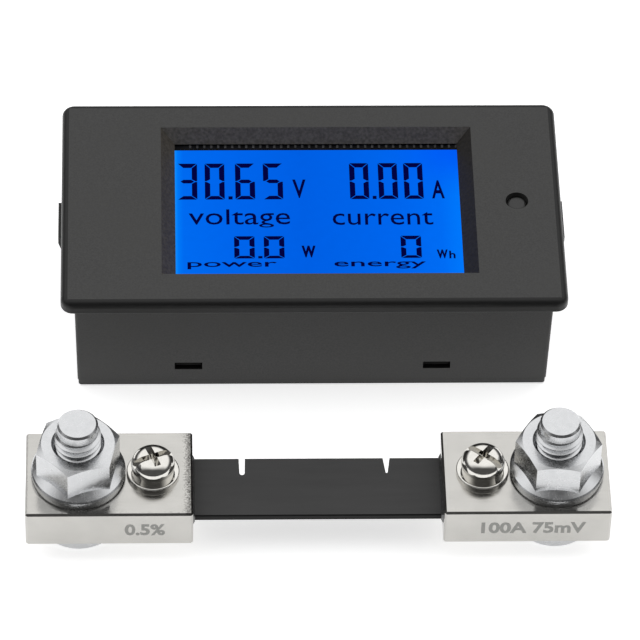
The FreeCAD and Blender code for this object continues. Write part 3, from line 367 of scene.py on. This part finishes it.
block_low, block_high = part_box("terminal_block_left")
tree = start("nickel_block", "brass_nickel_plated")
place = add(tree, "TexCoord").outputs["Object"]
stretched = add(tree, "Mapping", {"Vector": place, "Scale": (0.12, 1.0, 1.0)})
lines = add(tree, "TexNoise", {"Vector": stretched.outputs[0], "Scale": per_metre(MILL_LINE_MM),
                               "Detail": 3.0})
cloud = add(tree, "TexNoise", {"Vector": place, "Scale": per_metre(6), "Detail": 3.0})
speckle = add(tree, "TexNoise", {"Vector": place, "Scale": per_metre(SPECKLE_MM), "Detail": 2.0})
metal = add(tree, "Mix", {0: cloud.outputs[0], 6: linear("#ABAAA6"), 7: linear("#C0BEBA")},
            data_type="RGBA")

# %% Nickel-plated blocks: the soldering stain, and a darker band along the front edge
STAIN_MM = 2.8
EDGE_DARKENING_MM = 1.6
ROUNDING_MM = 0.3                                      # the rounded edge of the block

apart = add(tree, "SeparateXYZ", {0: place}).outputs
beside = add(tree, "MapRange", {"Value": apart["X"], "From Min": block_high.x - STAIN_MM * MM,
                                "From Max": block_high.x - ROUNDING_MM * MM, "To Max": 0.66},
             interpolation_type="SMOOTHSTEP")
on_top = add(tree, "Math", {0: apart["Z"], 1: block_high.z - ROUNDING_MM * MM},
             operation="GREATER_THAN")
on_left = add(tree, "Math", {0: apart["X"], 1: 0.0}, operation="LESS_THAN")
left_top = add(tree, "Math", {0: on_left.outputs[0], 1: on_top.outputs[0]},
               operation="MULTIPLY")
beside_left = add(tree, "Math", {0: beside.outputs[0], 1: left_top.outputs[0]},
                  operation="MULTIPLY")
front_edge = add(tree, "MapRange", {"Value": apart["Y"],
                                    "From Min": block_low.y + EDGE_DARKENING_MM * MM,
                                    "From Max": block_low.y + ROUNDING_MM * MM, "To Max": 0.3},
                 interpolation_type="SMOOTHSTEP")
along_edge = add(tree, "Math", {0: front_edge.outputs[0], 1: left_top.outputs[0]},
                 operation="MULTIPLY")
stain_and_edge_darkening = add(tree, "Math", {0: beside_left.outputs[0], 1: along_edge.outputs[0]},
              operation="MAXIMUM")
grainy = add(tree, "Math", {0: speckle.outputs[0], 1: stain_and_edge_darkening.outputs[0]}, operation="ADD")
stain = add(tree, "MapRange", {"Value": grainy.outputs[0], "From Min": 0.82, "From Max": 1.34})
colour = add(tree, "Mix", {0: stain.outputs[0], 6: metal.outputs[2], 7: linear("#3A3836")},
             data_type="RGBA")
print("stain", STAIN_MM, "mm wide beside the joint and", EDGE_DARKENING_MM, "mm along the edge")

# %% Nickel-plated blocks: the surface
roughness = add(tree, "MapRange", {"Value": lines.outputs[0], "From Min": 0.3, "From Max": 0.7,
                                   "To Min": 0.13, "To Max": 0.24})
bump = add(tree, "Bump", {"Height": lines.outputs[0], "Strength": 0.15, "Distance": 0.004 * MM})
shader = add(tree, "BsdfPrincipled", {"Base Color": colour.outputs[2], "Metallic": 1.0,
                                      "Roughness": roughness.outputs[0],
                                      "Normal": bump.outputs[0]})
add(tree, "OutputMaterial", {"Surface": shader.outputs[0]})
print("the nickel has", len(tree.nodes), "nodes")

# %% [markdown]
# ## The nuts, studs and washers: bright zinc
#
# Cheap M8 hardware is cold-headed steel with bright zinc plating. Zinc is a colder white than
# nickel, and the plating copies every mark of the tools, so it looks softly streaked. The streaks
# are a noise in the colour and the roughness.

# %% Zinc-plated hardware
STREAK_MM = 1.4

tree = start("zinc_hardware", "steel_bright_zinc")
place = add(tree, "TexCoord").outputs["Object"]
streak = add(tree, "TexNoise", {"Vector": place, "Scale": per_metre(STREAK_MM), "Detail": 5.0,
                                "Roughness": 0.65})
colour = add(tree, "Mix", {0: streak.outputs[0], 6: linear("#B0B1B3"), 7: linear("#D5D6D7")},
             data_type="RGBA")
roughness = add(tree, "MapRange", {"Value": streak.outputs[0], "From Min": 0.3, "From Max": 0.7,
                                   "To Min": 0.16, "To Max": 0.32})
bump = add(tree, "Bump", {"Height": streak.outputs[0], "Strength": 0.3, "Distance": 0.02 * MM})
shader = add(tree, "BsdfPrincipled", {"Base Color": colour.outputs[2], "Metallic": 1.0,
                                      "Roughness": roughness.outputs[0],
                                      "Normal": bump.outputs[0]})
add(tree, "OutputMaterial", {"Surface": shader.outputs[0]})

# %% [markdown]
# ## The sense screws: bright nickel
#
# The M4 screws and their washers have smooth, bright nickel. They are close to a mirror, so they
# show the dark and light of the room in sharp patches.

# %% Nickel screws
tree = start("nickel_screw", "steel_bright_nickel")
place = add(tree, "TexCoord").outputs["Object"]
wear = add(tree, "TexNoise", {"Vector": place, "Scale": per_metre(0.9), "Detail": 4.0})
colour = add(tree, "Mix", {0: wear.outputs[0], 6: linear("#C6C4BF"), 7: linear("#DAD8D3")},
             data_type="RGBA")
roughness = add(tree, "MapRange", {"Value": wear.outputs[0], "From Min": 0.3, "From Max": 0.7,
                                   "To Min": 0.06, "To Max": 0.14})
shader = add(tree, "BsdfPrincipled", {"Base Color": colour.outputs[2], "Metallic": 1.0,
                                      "Roughness": roughness.outputs[0]})
add(tree, "OutputMaterial", {"Surface": shader.outputs[0]})

# %% [markdown]
# ## The resistance strip: lacquered manganin
#
# Manganin is a copper alloy whose resistance hardly changes with heat. Here it is covered with a
# matt black lacquer, which looks like dark grey card. A faint orange-peel bump and slow streaks
# along the strip keep it from looking flat. Every face but the top, the cut edges and the
# underside, is painted near black, as painted shade.

# %% Lacquered strip
tree = start("resistance_strip", "manganin_matt_black_lacquer")
place = add(tree, "TexCoord").outputs["Object"]
stretched = add(tree, "Mapping", {"Vector": place, "Scale": (0.15, 1.0, 1.0)})
brush = add(tree, "TexNoise", {"Vector": stretched.outputs[0], "Scale": per_metre(1.5),
                               "Detail": 4.0})
peel = add(tree, "TexNoise", {"Vector": place, "Scale": per_metre(0.4), "Detail": 2.0})
colour = add(tree, "Mix", {0: brush.outputs[0], 6: linear("#3A3A3A"), 7: linear("#454545")},
             data_type="RGBA")
normal = add(tree, "SeparateXYZ", {0: add(tree, "TexCoord").outputs["Normal"]}).outputs
# Painted shade: the sides and underside are painted near black; only the top keeps the lacquer's
# grey.
lit_top_face = add(tree, "Math", {0: normal["Z"], 1: 0.9}, operation="GREATER_THAN")
colour = add(tree, "Mix", {0: lit_top_face.outputs[0], 6: linear("#0C0C0C"), 7: colour.outputs[2]},
             data_type="RGBA")
bump = add(tree, "Bump", {"Height": peel.outputs[0], "Strength": 0.3, "Distance": 0.01 * MM})
shader = add(tree, "BsdfPrincipled", {"Base Color": colour.outputs[2], "Roughness": 0.6,
                                      "IOR": 1.5, "Specular IOR Level": 0.25,
                                      "Normal": bump.outputs[0]})
add(tree, "OutputMaterial", {"Surface": shader.outputs[0]})

# %% [markdown]
# ## Solder
#
# The strip is soldered into its seats. Tin solder sets satin grey, with a frosted skin and a
# darker film of flux here and there.

# %% Solder
tree = start("solder", "tin_solder_satin")
place = add(tree, "TexCoord").outputs["Object"]
frost = add(tree, "TexNoise", {"Vector": place, "Scale": per_metre(0.5), "Detail": 4.0})
colour = add(tree, "Mix", {0: frost.outputs[0], 6: linear("#4A4A4A"), 7: linear("#9A9A9A")},
             data_type="RGBA")
bump = add(tree, "Bump", {"Height": frost.outputs[0], "Strength": 0.5, "Distance": 0.05 * MM})
shader = add(tree, "BsdfPrincipled", {"Base Color": colour.outputs[2], "Metallic": 1.0,
                                      "Roughness": 0.4, "Normal": bump.outputs[0]})
add(tree, "OutputMaterial", {"Surface": shader.outputs[0]})

# %% [markdown]
# ## The back of the meter: terminals and label
#
# The terminal strip is green PBT with a fine moulded grain. Its plates are bare brass, brushed
# along their length, and its screws and clamps are zinc-plated steel. The label is silver
# polyester film with a faint weave from its adhesive.

# %% Terminal plastic, brass and steel
tree = start("terminal_plastic", "pbt_green_moulded")
place = add(tree, "TexCoord").outputs["Object"]
grain = add(tree, "TexNoise", {"Vector": place, "Scale": per_metre(0.4), "Detail": 2.0})
colour = add(tree, "Mix", {0: grain.outputs[0], 6: linear("#245A34"), 7: linear("#2F6E41")},
             data_type="RGBA")
bump = add(tree, "Bump", {"Height": grain.outputs[0], "Strength": 0.3, "Distance": 0.02 * MM})
shader = add(tree, "BsdfPrincipled", {"Base Color": colour.outputs[2], "Roughness": 0.45,
                                      "IOR": 1.55, "Normal": bump.outputs[0]})
add(tree, "OutputMaterial", {"Surface": shader.outputs[0]})

for slot, name, dark, light in (("brass_plate", "brass_bare_brushed", "#B08D4A", "#D2B26A"),
                                ("steel_screw", "steel_zinc_plated", "#A9ABAE", "#CFD1D4")):
    tree = start(slot, name)
    place = add(tree, "TexCoord").outputs["Object"]
    stretched = add(tree, "Mapping", {"Vector": place, "Scale": (1.0, 0.1, 1.0)})
    brush = add(tree, "TexNoise", {"Vector": stretched.outputs[0], "Scale": per_metre(0.3),
                                   "Detail": 3.0})
    colour = add(tree, "Mix", {0: brush.outputs[0], 6: linear(dark), 7: linear(light)},
                 data_type="RGBA")
    roughness = add(tree, "MapRange", {"Value": brush.outputs[0], "To Min": 0.2, "To Max": 0.4})
    shader = add(tree, "BsdfPrincipled", {"Base Color": colour.outputs[2], "Metallic": 1.0,
                                          "Roughness": roughness.outputs[0]})
    add(tree, "OutputMaterial", {"Surface": shader.outputs[0]})

# %% Label film
tree = start("label_film", "polyester_silver_film")
place = add(tree, "TexCoord").outputs["Object"]
weave = add(tree, "TexVoronoi", {"Vector": place, "Scale": per_metre(0.5)})
colour = add(tree, "Mix", {0: weave.outputs[0], 6: linear("#D4D5D6"), 7: linear("#C4C5C7")},
             data_type="RGBA")
shader = add(tree, "BsdfPrincipled", {"Base Color": colour.outputs[2], "Roughness": 0.35,
                                      "Metallic": 0.3})
add(tree, "OutputMaterial", {"Surface": shader.outputs[0]})

# %% [markdown]
# ## Inside the meter
#
# These pieces are seen only when the covers come off, but each is still a real material: an
# acrylic light guide with a grid of printed dots, black trays and switches, a fibreglass board
# under green solder mask, epoxy chips, aluminium cans and glazed chip resistors.

# %% Light guide with its printed dots
DOT_PITCH_MM = 0.9

tree = start("light_guide", "acrylic_light_guide")
place = add(tree, "TexCoord").outputs["Object"]
dots = add(tree, "TexVoronoi", {"Vector": place, "Scale": per_metre(DOT_PITCH_MM),
                                "Randomness": 0.0})
dot = add(tree, "Math", {0: dots.outputs[0], 1: 0.3}, operation="LESS_THAN")
colour = add(tree, "Mix", {0: dot.outputs[0], 6: linear("#B8CFF2"), 7: linear("#F4F8FF")},
             data_type="RGBA")
shader = add(tree, "BsdfPrincipled", {"Base Color": colour.outputs[2], "Roughness": 0.15,
                                      "IOR": 1.49})
add(tree, "OutputMaterial", {"Surface": shader.outputs[0]})

# %% Circuit board: weave under solder mask, with copper tracks
WEAVE_MM = 0.6
TRACK_WIDTH_MM = 2.5

tree = start("board_laminate", "fibreglass_green_solder_mask")
place = add(tree, "TexCoord").outputs["Object"]
threads = add(tree, "TexChecker", {"Vector": place, "Scale": per_metre(WEAVE_MM),
                                   "Color1": linear("#0B4A22"), "Color2": linear("#0E5528")})
copper = add(tree, "TexBrick", {"Vector": place, "Scale": per_metre(TRACK_WIDTH_MM) / 4,
                                "Mortar Size": 0.03, "Color1": linear("#000000"),
                                "Color2": linear("#000000"), "Mortar": linear("#FFFFFF")})
colour = add(tree, "Mix", {0: copper.outputs[0], 6: threads.outputs[0], 7: linear("#1E7A3C")},
             data_type="RGBA")
shader = add(tree, "BsdfPrincipled", {"Base Color": colour.outputs[2], "Roughness": 0.3,
                                      "IOR": 1.55, "Coat Weight": 0.5})
add(tree, "OutputMaterial", {"Surface": shader.outputs[0]})

# %% Small parts on the board
for slot, name, dark, light, metallic, rough, size in (
        ("black_plastic", "abs_black_satin", "#141414", "#1E1E1E", 0.0, 0.45, 0.4),
        ("chip_plastic", "epoxy_moulded_black", "#18191A", "#242526", 0.0, 0.55, 0.25),
        ("can_metal", "aluminium_drawn_can", "#B4B6B8", "#D4D5D7", 1.0, 0.3, 0.5),
        ("resistor_ceramic", "ceramic_glazed_black", "#121214", "#2A2A2E", 0.0, 0.2, 0.6)):
    tree = start(slot, name)
    place = add(tree, "TexCoord").outputs["Object"]
    grain = add(tree, "TexNoise", {"Vector": place, "Scale": per_metre(size), "Detail": 3.0})
    colour = add(tree, "Mix", {0: grain.outputs[0], 6: linear(dark), 7: linear(light)},
                 data_type="RGBA")
    bump = add(tree, "Bump", {"Height": grain.outputs[0], "Strength": 0.2,
                              "Distance": 0.02 * MM})
    shader = add(tree, "BsdfPrincipled", {"Base Color": colour.outputs[2], "Metallic": metallic,
                                          "Roughness": rough, "Normal": bump.outputs[0]})
    add(tree, "OutputMaterial", {"Surface": shader.outputs[0]})

# %% [markdown]
# ## Inks and marks
#
# Three finishes belong to the marks that Blender adds. Liquid crystal that blocks the light looks
# deep navy, since a little blue leaks through. The laser marks on the blocks are a matt, darker
# nickel. The label is printed in black ink.

# %% Marks
for slot, name, dark, light, metallic, rough, size in (
        ("crystal", "liquid_crystal_dark", "#030342", "#05054E", 0.0, 0.5, 0.6),
        ("laser_mark", "nickel_laser_marked", "#9C9C99", "#AEAEAA", 0.0, 0.7, 0.3),
        ("label_ink", "screen_ink_black", "#101010", "#202020", 0.0, 0.5, 0.4)):
    tree = start(slot, name)
    place = add(tree, "TexCoord").outputs["Object"]
    uneven = add(tree, "TexNoise", {"Vector": place, "Scale": per_metre(size), "Detail": 3.0})
    colour = add(tree, "Mix", {0: uneven.outputs[0], 6: linear(dark), 7: linear(light)},
                 data_type="RGBA")
    shader = add(tree, "BsdfPrincipled", {"Base Color": colour.outputs[2], "Metallic": metallic,
                                          "Roughness": rough, "Specular IOR Level": 0.0})
    add(tree, "OutputMaterial", {"Surface": shader.outputs[0]})

# %% [markdown]
# ## Finishes for the CAD nodes
#
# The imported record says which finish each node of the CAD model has, so a loop hands them out.
# The meshes themselves stay as the CAD made them.

# %% Hand out the finishes
for part in frame["record"]["subparts"]:
    node = frame["nodes"][part["node"]]
    node.data.materials.clear()
    node.data.materials.append(FINISHES[part["material_slot"]])

# %% [markdown]
# ## Bars of the digits
#
# Each digit is a cell of seven bars, cut at a slant where two meet, with a hair of clear glass
# between them. A function gives the corners of the bars for a cell of any size, and a table says
# which bars each digit turns dark. The letters a to g name the bars clockwise from the top, and g
# is the middle one.

# %% Digit cells
BARS = {"0": "abcdef", "3": "abcdg", "5": "acdfg", "6": "acdefg"}
BAR_GAP = 0.22


def bar_corners(width, height, side, top, bottom, centre):
    """Corner points of the seven bars, in mm from the cell's lower left corner."""
    gap, half, tip = BAR_GAP / 2, height / 2, side * 0.35
    inner = half - centre / 2
    corners = {
        "a": [(gap, height), (width - gap, height), (width - side - gap, height - top),
              (side + gap, height - top)],
        "d": [(gap, 0), (width - gap, 0), (width - side - gap, bottom), (side + gap, bottom)],
        "e": [(0, gap), (side, bottom + gap), (side, inner - gap), (tip, half - gap),
              (0, half - gap)],
        "f": [(0, height - gap), (side, height - top - gap), (side, height - inner + gap),
              (tip, half + gap), (0, half + gap)],
        "g": [(tip + 2 * gap, half), (side + gap, half + centre / 2),
              (width - side - gap, half + centre / 2), (width - tip - 2 * gap, half),
              (width - side - gap, half - centre / 2), (side + gap, half - centre / 2)],
    }
    corners["b"] = [(width - x, y) for x, y in corners["f"]]
    corners["c"] = [(width - x, y) for x, y in corners["e"]]
    return corners


print("bars of each digit:", BARS)

# %% Outlines of a digit and of a block
def digit(character, left, low, width, height, **bars):
    """The outlines of one digit, moved to its place on the display."""
    corners = bar_corners(width, height, **bars)
    return [[(x + left, y + low) for x, y in corners[bar]] for bar in BARS[character]]


def block(x_low, x_high, y_low, y_high):
    """The outline of a plain rectangle, such as a decimal point."""
    return [(x_low, y_low), (x_high, y_low), (x_high, y_high), (x_low, y_high)]


print("a block 2 mm square:", block(-1, 1, -1, 1))


# %% [markdown]
# ## From outlines to thin solids
#
# A mark is a solid a few hundredths of a millimetre thick, so that it is a real piece of the
# model. Each outline becomes a prism. The `place` function says where a point of the
# drawing goes on the object, so the same code serves the display, the front of the blocks and
# the label on the back.

# %% Make a piece from a mesh
MARK_THICKNESS = 0.02
THIN_MARK = 0.01                                       # ink, and the laser marks


def as_piece(name, build, place, finish, body):
    """A new object from a bmesh in mm, with its points put in place, riding a CAD body."""
    for vertex in build.verts:
        vertex.co = place(vertex.co)
    bmesh.ops.recalc_face_normals(build, faces=build.faces)
    mesh = bpy.data.meshes.new(name)
    build.to_mesh(mesh)
    build.free()
    mesh.materials.append(FINISHES[finish])
    piece = bpy.data.objects.new(name, mesh)
    bpy.context.scene.collection.objects.link(piece)
    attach(piece, body)
    print("made", name, "with", len(mesh.polygons), "faces")
    return piece


# %% Thin prisms, and their place on the display
FILM_GAP = 0.01                                        # keeps a mark off the film


def prisms(outlines, thickness=MARK_THICKNESS):
    """A bmesh with one thin prism for each outline."""
    build = bmesh.new()
    for outline in outlines:
        low = [build.verts.new((x, y, 0)) for x, y in outline]
        high = [build.verts.new((x, y, thickness)) for x, y in outline]
        build.faces.new(low)
        build.faces.new(high)
        for i, corner in enumerate(low):
            follows = (i + 1) % len(low)
            build.faces.new((corner, low[follows], high[follows], high[i]))
    return build


def on_display(point):
    """Drawing mm, from the middle of the bezel, to the top of the display film in metres."""
    return Vector((meter_centre.x + point.x * MM, meter_centre.y + point.y * MM,
                   film_high.z + (FILM_GAP + point.z) * MM))


print("marks start at z", round(film_high.z / MM + FILM_GAP, 2), "mm on the display")


# %% [markdown]
# ## The readings
#
# The display shows four readings: volts, amperes, watts and watt-hours. The upper row is taller
# than the lower row. On this panel the cells are not evenly spaced, so each digit has its own
# left edge.

# %% Readings
LARGE = {"low": 2.9, "height": 8.95, "side": 0.96, "top": 1.05, "bottom": 0.86, "centre": 0.88}
SMALL = {"low": -11.6, "height": 5.4, "side": 0.92, "top": 0.85, "bottom": 0.62, "centre": 0.6}
POINT_HEIGHT = 0.9                                     # of the height of a bottom bar
READINGS = {
    "reading_volts": ("3065", (-23.98, -19.06, -13.58, -8.55), 3.55, LARGE, (-14.85, -14.1)),
    "reading_amperes": ("000", (7.05, 12.25, 16.85), 3.45, LARGE, (11.1, 11.8)),
    "reading_watts": ("00", (-14.0, -8.7), 3.65, SMALL, (-9.75, -9.0)),
    "reading_watt_hours": ("0", (15.74,), 3.66, SMALL, None),
}

for name, (characters, lefts, width, size, point) in READINGS.items():
    outlines = []
    for character, left in zip(characters, lefts):
        outlines += digit(character, left, width=width, **size)
    if point:
        outlines.append(block(*point, size["low"], size["low"] + size["bottom"] * POINT_HEIGHT))
    reading = as_piece(name, prisms(outlines), on_display, "crystal", "meter")

# %% [markdown]
# ## Words and units
#
# Blender's own font gives the letters. A text curve is turned into a mesh, and then its points
# are moved in three bands: below the line, up to the height of a small x, and above it. That way
# a word can be as wide and as squat as the glass really prints it, and the lowest words can run
# under the edge of the window.

# %% Letters as meshes
def letters(text, weight=0.0, thickness=MARK_THICKNESS):
    """A bmesh of the text in font units, as thick as a mark and made bolder by weight."""
    curve = bpy.data.curves.new("letters", "FONT")
    curve.body = text
    curve.offset = weight
    curve.extrude = thickness / 2
    curve.resolution_u = 3
    carrier = bpy.data.objects.new("letters", curve)
    bpy.context.scene.collection.objects.link(carrier)
    depsgraph = bpy.context.evaluated_depsgraph_get()
    mesh = bpy.data.meshes.new_from_object(carrier.evaluated_get(depsgraph))
    bpy.data.objects.remove(carrier)
    bpy.data.curves.remove(curve)
    build = bmesh.new()
    build.from_mesh(mesh)
    bpy.data.meshes.remove(mesh)
    bmesh.ops.remove_doubles(build, verts=build.verts, dist=1e-4)
    for vertex in build.verts:
        vertex.co.z += thickness / 2
    return build


# %% Stretch the letters
def span(build, axis):
    """The lowest and highest value of the points along x or y."""
    values = [getattr(vertex.co, axis) for vertex in build.verts]
    return min(values), max(values)


FONT_X_HEIGHT = span(letters("x"), "y")[1]
FONT_DESCENDER = -span(letters("p"), "y")[0]
FONT_ASCENDER = span(letters("l"), "y")[1] - FONT_X_HEIGHT
print("font x-height", round(FONT_X_HEIGHT, 3))


def fitted(build, x_low, x_high, baseline, x_height, ascender, descender):
    """The letters stretched between x_low and x_high, in three bands of height."""
    low, high = span(build, "x")
    for vertex in build.verts:
        share = (vertex.co.x - low) / (high - low)
        y = vertex.co.y
        below, above = min(y, 0), max(y - FONT_X_HEIGHT, 0)
        within = y - below - above
        vertex.co.x = x_low + share * (x_high - x_low)
        vertex.co.y = (baseline + below * descender / FONT_DESCENDER
                       + within * x_height / FONT_X_HEIGHT + above * ascender / FONT_ASCENDER)
    return build


def boxed(build, x_low, x_high, y_low, y_high):
    """The letters stretched to fill a box."""
    for axis, start_at, end_at in (("x", x_low, x_high), ("y", y_low, y_high)):
        low, high = span(build, axis)
        for vertex in build.verts:
            share = (getattr(vertex.co, axis) - low) / (high - low)
            setattr(vertex.co, axis, start_at + share * (end_at - start_at))
    return build


# %% Words and units on the display
WORDS = (
    ("voltage", -22.04, -3.88, -3.28, 2.73, 0.99, 0.77, 0.0),
    ("current", 3.74, 21.78, -3.45, 2.73, 0.99, 0.77, 0.0),
    ("power", -22.35, -6.48, -13.6, 1.1, 0.4, 0.55, 0.008),
    ("energy", 3.73, 20.06, -13.6, 1.1, 0.4, 0.55, 0.008),
)
UNITS = (
    ("unit_volt", "V", -3.3, -0.9, 3.2, 7.8, 0.02),
    ("unit_ampere", "A", 21.8, 24.1, 3.0, 7.5, 0.02),
    ("unit_watt", "W", -2.0, 0.5, -11.4, -8.55, 0.05),
    ("unit_watt_hour_w", "W", 22.1, 24.05, -11.75, -9.6, 0.045),
    ("unit_watt_hour_h", "h", 24.3, 25.4, -11.75, -9.9, 0.02),
)

for text, x_low, x_high, baseline, x_height, ascender, descender, weight in WORDS:
    build = fitted(letters(text, weight), x_low, x_high, baseline, x_height, ascender, descender)
    as_piece("word_" + text, build, on_display, "crystal", "meter")
for name, text, x_low, x_high, y_low, y_high, weight in UNITS:
    build = boxed(letters(text, weight), x_low, x_high, y_low, y_high)
    as_piece(name, build, on_display, "crystal", "meter")

# %% [markdown]
# ## Laser marks on the blocks
#
# The maker marks a shunt with its rating: the current at which it drops 75 mV, and its accuracy.
# The marks are a hundredth of a millimetre thick on the front faces. Drawing x runs along the
# block, and drawing y runs up it.

# %% Ratings on the front faces
MARK_HEIGHT = 3.0
MARK_WEIGHT = 0.035
block_middle = middle("terminal_block_left").z / MM
shunt_front = block_low.y
MARKS = (("mark_accuracy", "0.5%", -33.6, -26.6), ("mark_rating", "100A 75mV", 28.2, 46.4))


def on_block_front(point):
    """Drawing mm, along the block and up it, to its front face in metres."""
    return Vector((point.x * MM, shunt_front - point.z * MM, point.y * MM))


for name, text, x_low, x_high in MARKS:
    build = boxed(letters(text, MARK_WEIGHT, THIN_MARK), x_low, x_high,
                  block_middle - MARK_HEIGHT / 2, block_middle + MARK_HEIGHT / 2)
    as_piece(name, build, on_block_front, "laser_mark", "shunt")

# %% [markdown]
# ## Printing on the label
#
# The label on the back names the four terminals by number. A line joins each number to what is
# wired there: two to the shunt, drawn as a small box, and two to the supply, plus and minus. It
# is read from below, so the drawing is mirrored in x. The numbers run from left to right for that
# reader, which is the other way round from the numbers in the names of the screws.

# %% Label printing
LINE = 0.35
LEAD = (-1.2, 2.6)                                     # from the box or the sign, up to the number
SHUNT_BOX = {"y": (-3.6, -1.3), "margin": 1.0}
SIGN = {"y": -2.6, "half": 1.1, "upright": (-3.5, -1.35)}
NUMERAL_LOW, NUMERAL_HEIGHT, NUMERAL_WEIGHT = 3.4, 2.6, 0.01

label_low, label_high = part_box("rear_label")
label_centre = (label_low + label_high) / 2
terminal_xs = [middle(f"terminal_screw_{number}").x / MM for number in (1, 2, 3, 4)]


def on_label(point):
    """Drawing mm, from the middle of the label and seen from below."""
    return Vector((label_centre.x - point.x * MM, label_centre.y + point.y * MM,
                   label_low.z - point.z * MM))


print("terminals at x", [round(x, 2) for x in terminal_xs], "mm")

# %% Print the label
outlines = []
for x in terminal_xs:
    outlines.append(block(x - LINE / 2, x + LINE / 2, *LEAD))
first, second, third, fourth = terminal_xs
outlines.append(block(first - SHUNT_BOX["margin"], second + SHUNT_BOX["margin"],
                      *SHUNT_BOX["y"]))
for x in (third, fourth):
    outlines.append(block(x - SIGN["half"], x + SIGN["half"], SIGN["y"], SIGN["y"] + LINE))
outlines.append(block(third - LINE / 2, third + LINE / 2, *SIGN["upright"]))
lines = as_piece("label_wiring", prisms(outlines, THIN_MARK), on_label, "label_ink", "meter")
for number, x in enumerate(terminal_xs, start=1):
    build = letters(str(number), NUMERAL_WEIGHT, THIN_MARK)
    (x_low, x_high), (y_low, y_high) = span(build, "x"), span(build, "y")
    half_width = (x_high - x_low) / (y_high - y_low) * NUMERAL_HEIGHT / 2
    build = boxed(build, x - half_width, x + half_width, NUMERAL_LOW,
                  NUMERAL_LOW + NUMERAL_HEIGHT)
    numeral = as_piece(f"label_number_{number}", build, on_label, "label_ink", "meter")

# %% [markdown]
# ## The floor
#
# The set stands on a plain white sheet. A studio sheet like this is lit until it is pure white,
# so it gives off a little light of its own here, which keeps the contact shadows soft. It is a
# wide, gently rounded disc, so that no corner of it shows from the sides.

# %% Floor
FLOOR_RADIUS = 4.0
SHEET_GLOW = 0.68

tree = start("floor", "paper_white_studio_sheet")
place = add(tree, "TexCoord").outputs["Object"]
fibres = add(tree, "TexNoise", {"Vector": place, "Scale": per_metre(3), "Detail": 3.0})
colour = add(tree, "Mix", {0: fibres.outputs[0], 6: linear("#F2F2F2"), 7: linear("#F6F6F6")},
             data_type="RGBA")
shader = add(tree, "BsdfPrincipled", {"Base Color": colour.outputs[2], "Roughness": 0.9,
                                      "Specular IOR Level": 0.0,
                                      "Emission Color": linear("#FFFFFF"),
                                      "Emission Strength": SHEET_GLOW})
add(tree, "OutputMaterial", {"Surface": shader.outputs[0]})

build = bmesh.new()
bmesh.ops.create_circle(build, cap_ends=True, segments=64, radius=FLOOR_RADIUS)
floor_mesh = bpy.data.meshes.new("floor")
build.to_mesh(floor_mesh)
build.free()
floor_mesh.materials.append(FINISHES["floor"])
floor = bpy.data.objects.new("floor", floor_mesh)
bpy.context.scene.collection.objects.link(floor)
print("floor", FLOOR_RADIUS * 2, "m across")

# %% [markdown]
# ## The light
#
# The studio has a wide white ceiling that reaches down behind the set, and it is dark near the
# horizon and behind the camera. Metal needs both: without something dark to reflect it looks like
# grey paint. The world's colour makes this room. Its direction's z says how high a ray looks, and
# y says whether it looks to the back or to the front.
#
# The view transform is set to Standard, so that a colour that was chosen as a hex value comes out
# as that value.

# %% World
DARK, BRIGHT = 0.1, 1.35
CEILING_STARTS = {"From Min": 0.3, "From Max": 0.6}    # how high a ray looks
BACK_STARTS = {"From Min": -0.55, "From Max": 0.05}    # how far to the back it looks

world = bpy.data.worlds.new("studio")
bpy.context.scene.world = world
world.use_nodes = True
tree = world.node_tree
tree.nodes.clear()
looking = add(tree, "TexCoord").outputs["Generated"]
apart = add(tree, "SeparateXYZ", {0: looking}).outputs
height = add(tree, "MapRange", {"Value": apart["Z"], **CEILING_STARTS},
             interpolation_type="SMOOTHSTEP")
behind = add(tree, "MapRange", {"Value": apart["Y"], **BACK_STARTS},
             interpolation_type="SMOOTHSTEP")
ceiling = add(tree, "Math", {0: height.outputs[0], 1: behind.outputs[0]}, operation="MULTIPLY")
strength = add(tree, "MapRange", {"Value": ceiling.outputs[0], "To Min": DARK, "To Max": BRIGHT})
background = add(tree, "Background", {"Color": linear("#FFFFFF"),
                                      "Strength": strength.outputs[0]})
add(tree, "OutputWorld", {"Surface": background.outputs[0]})
bpy.context.scene.view_settings.view_transform = "Standard"
print("the room goes from", DARK, "to", BRIGHT, "of full light")
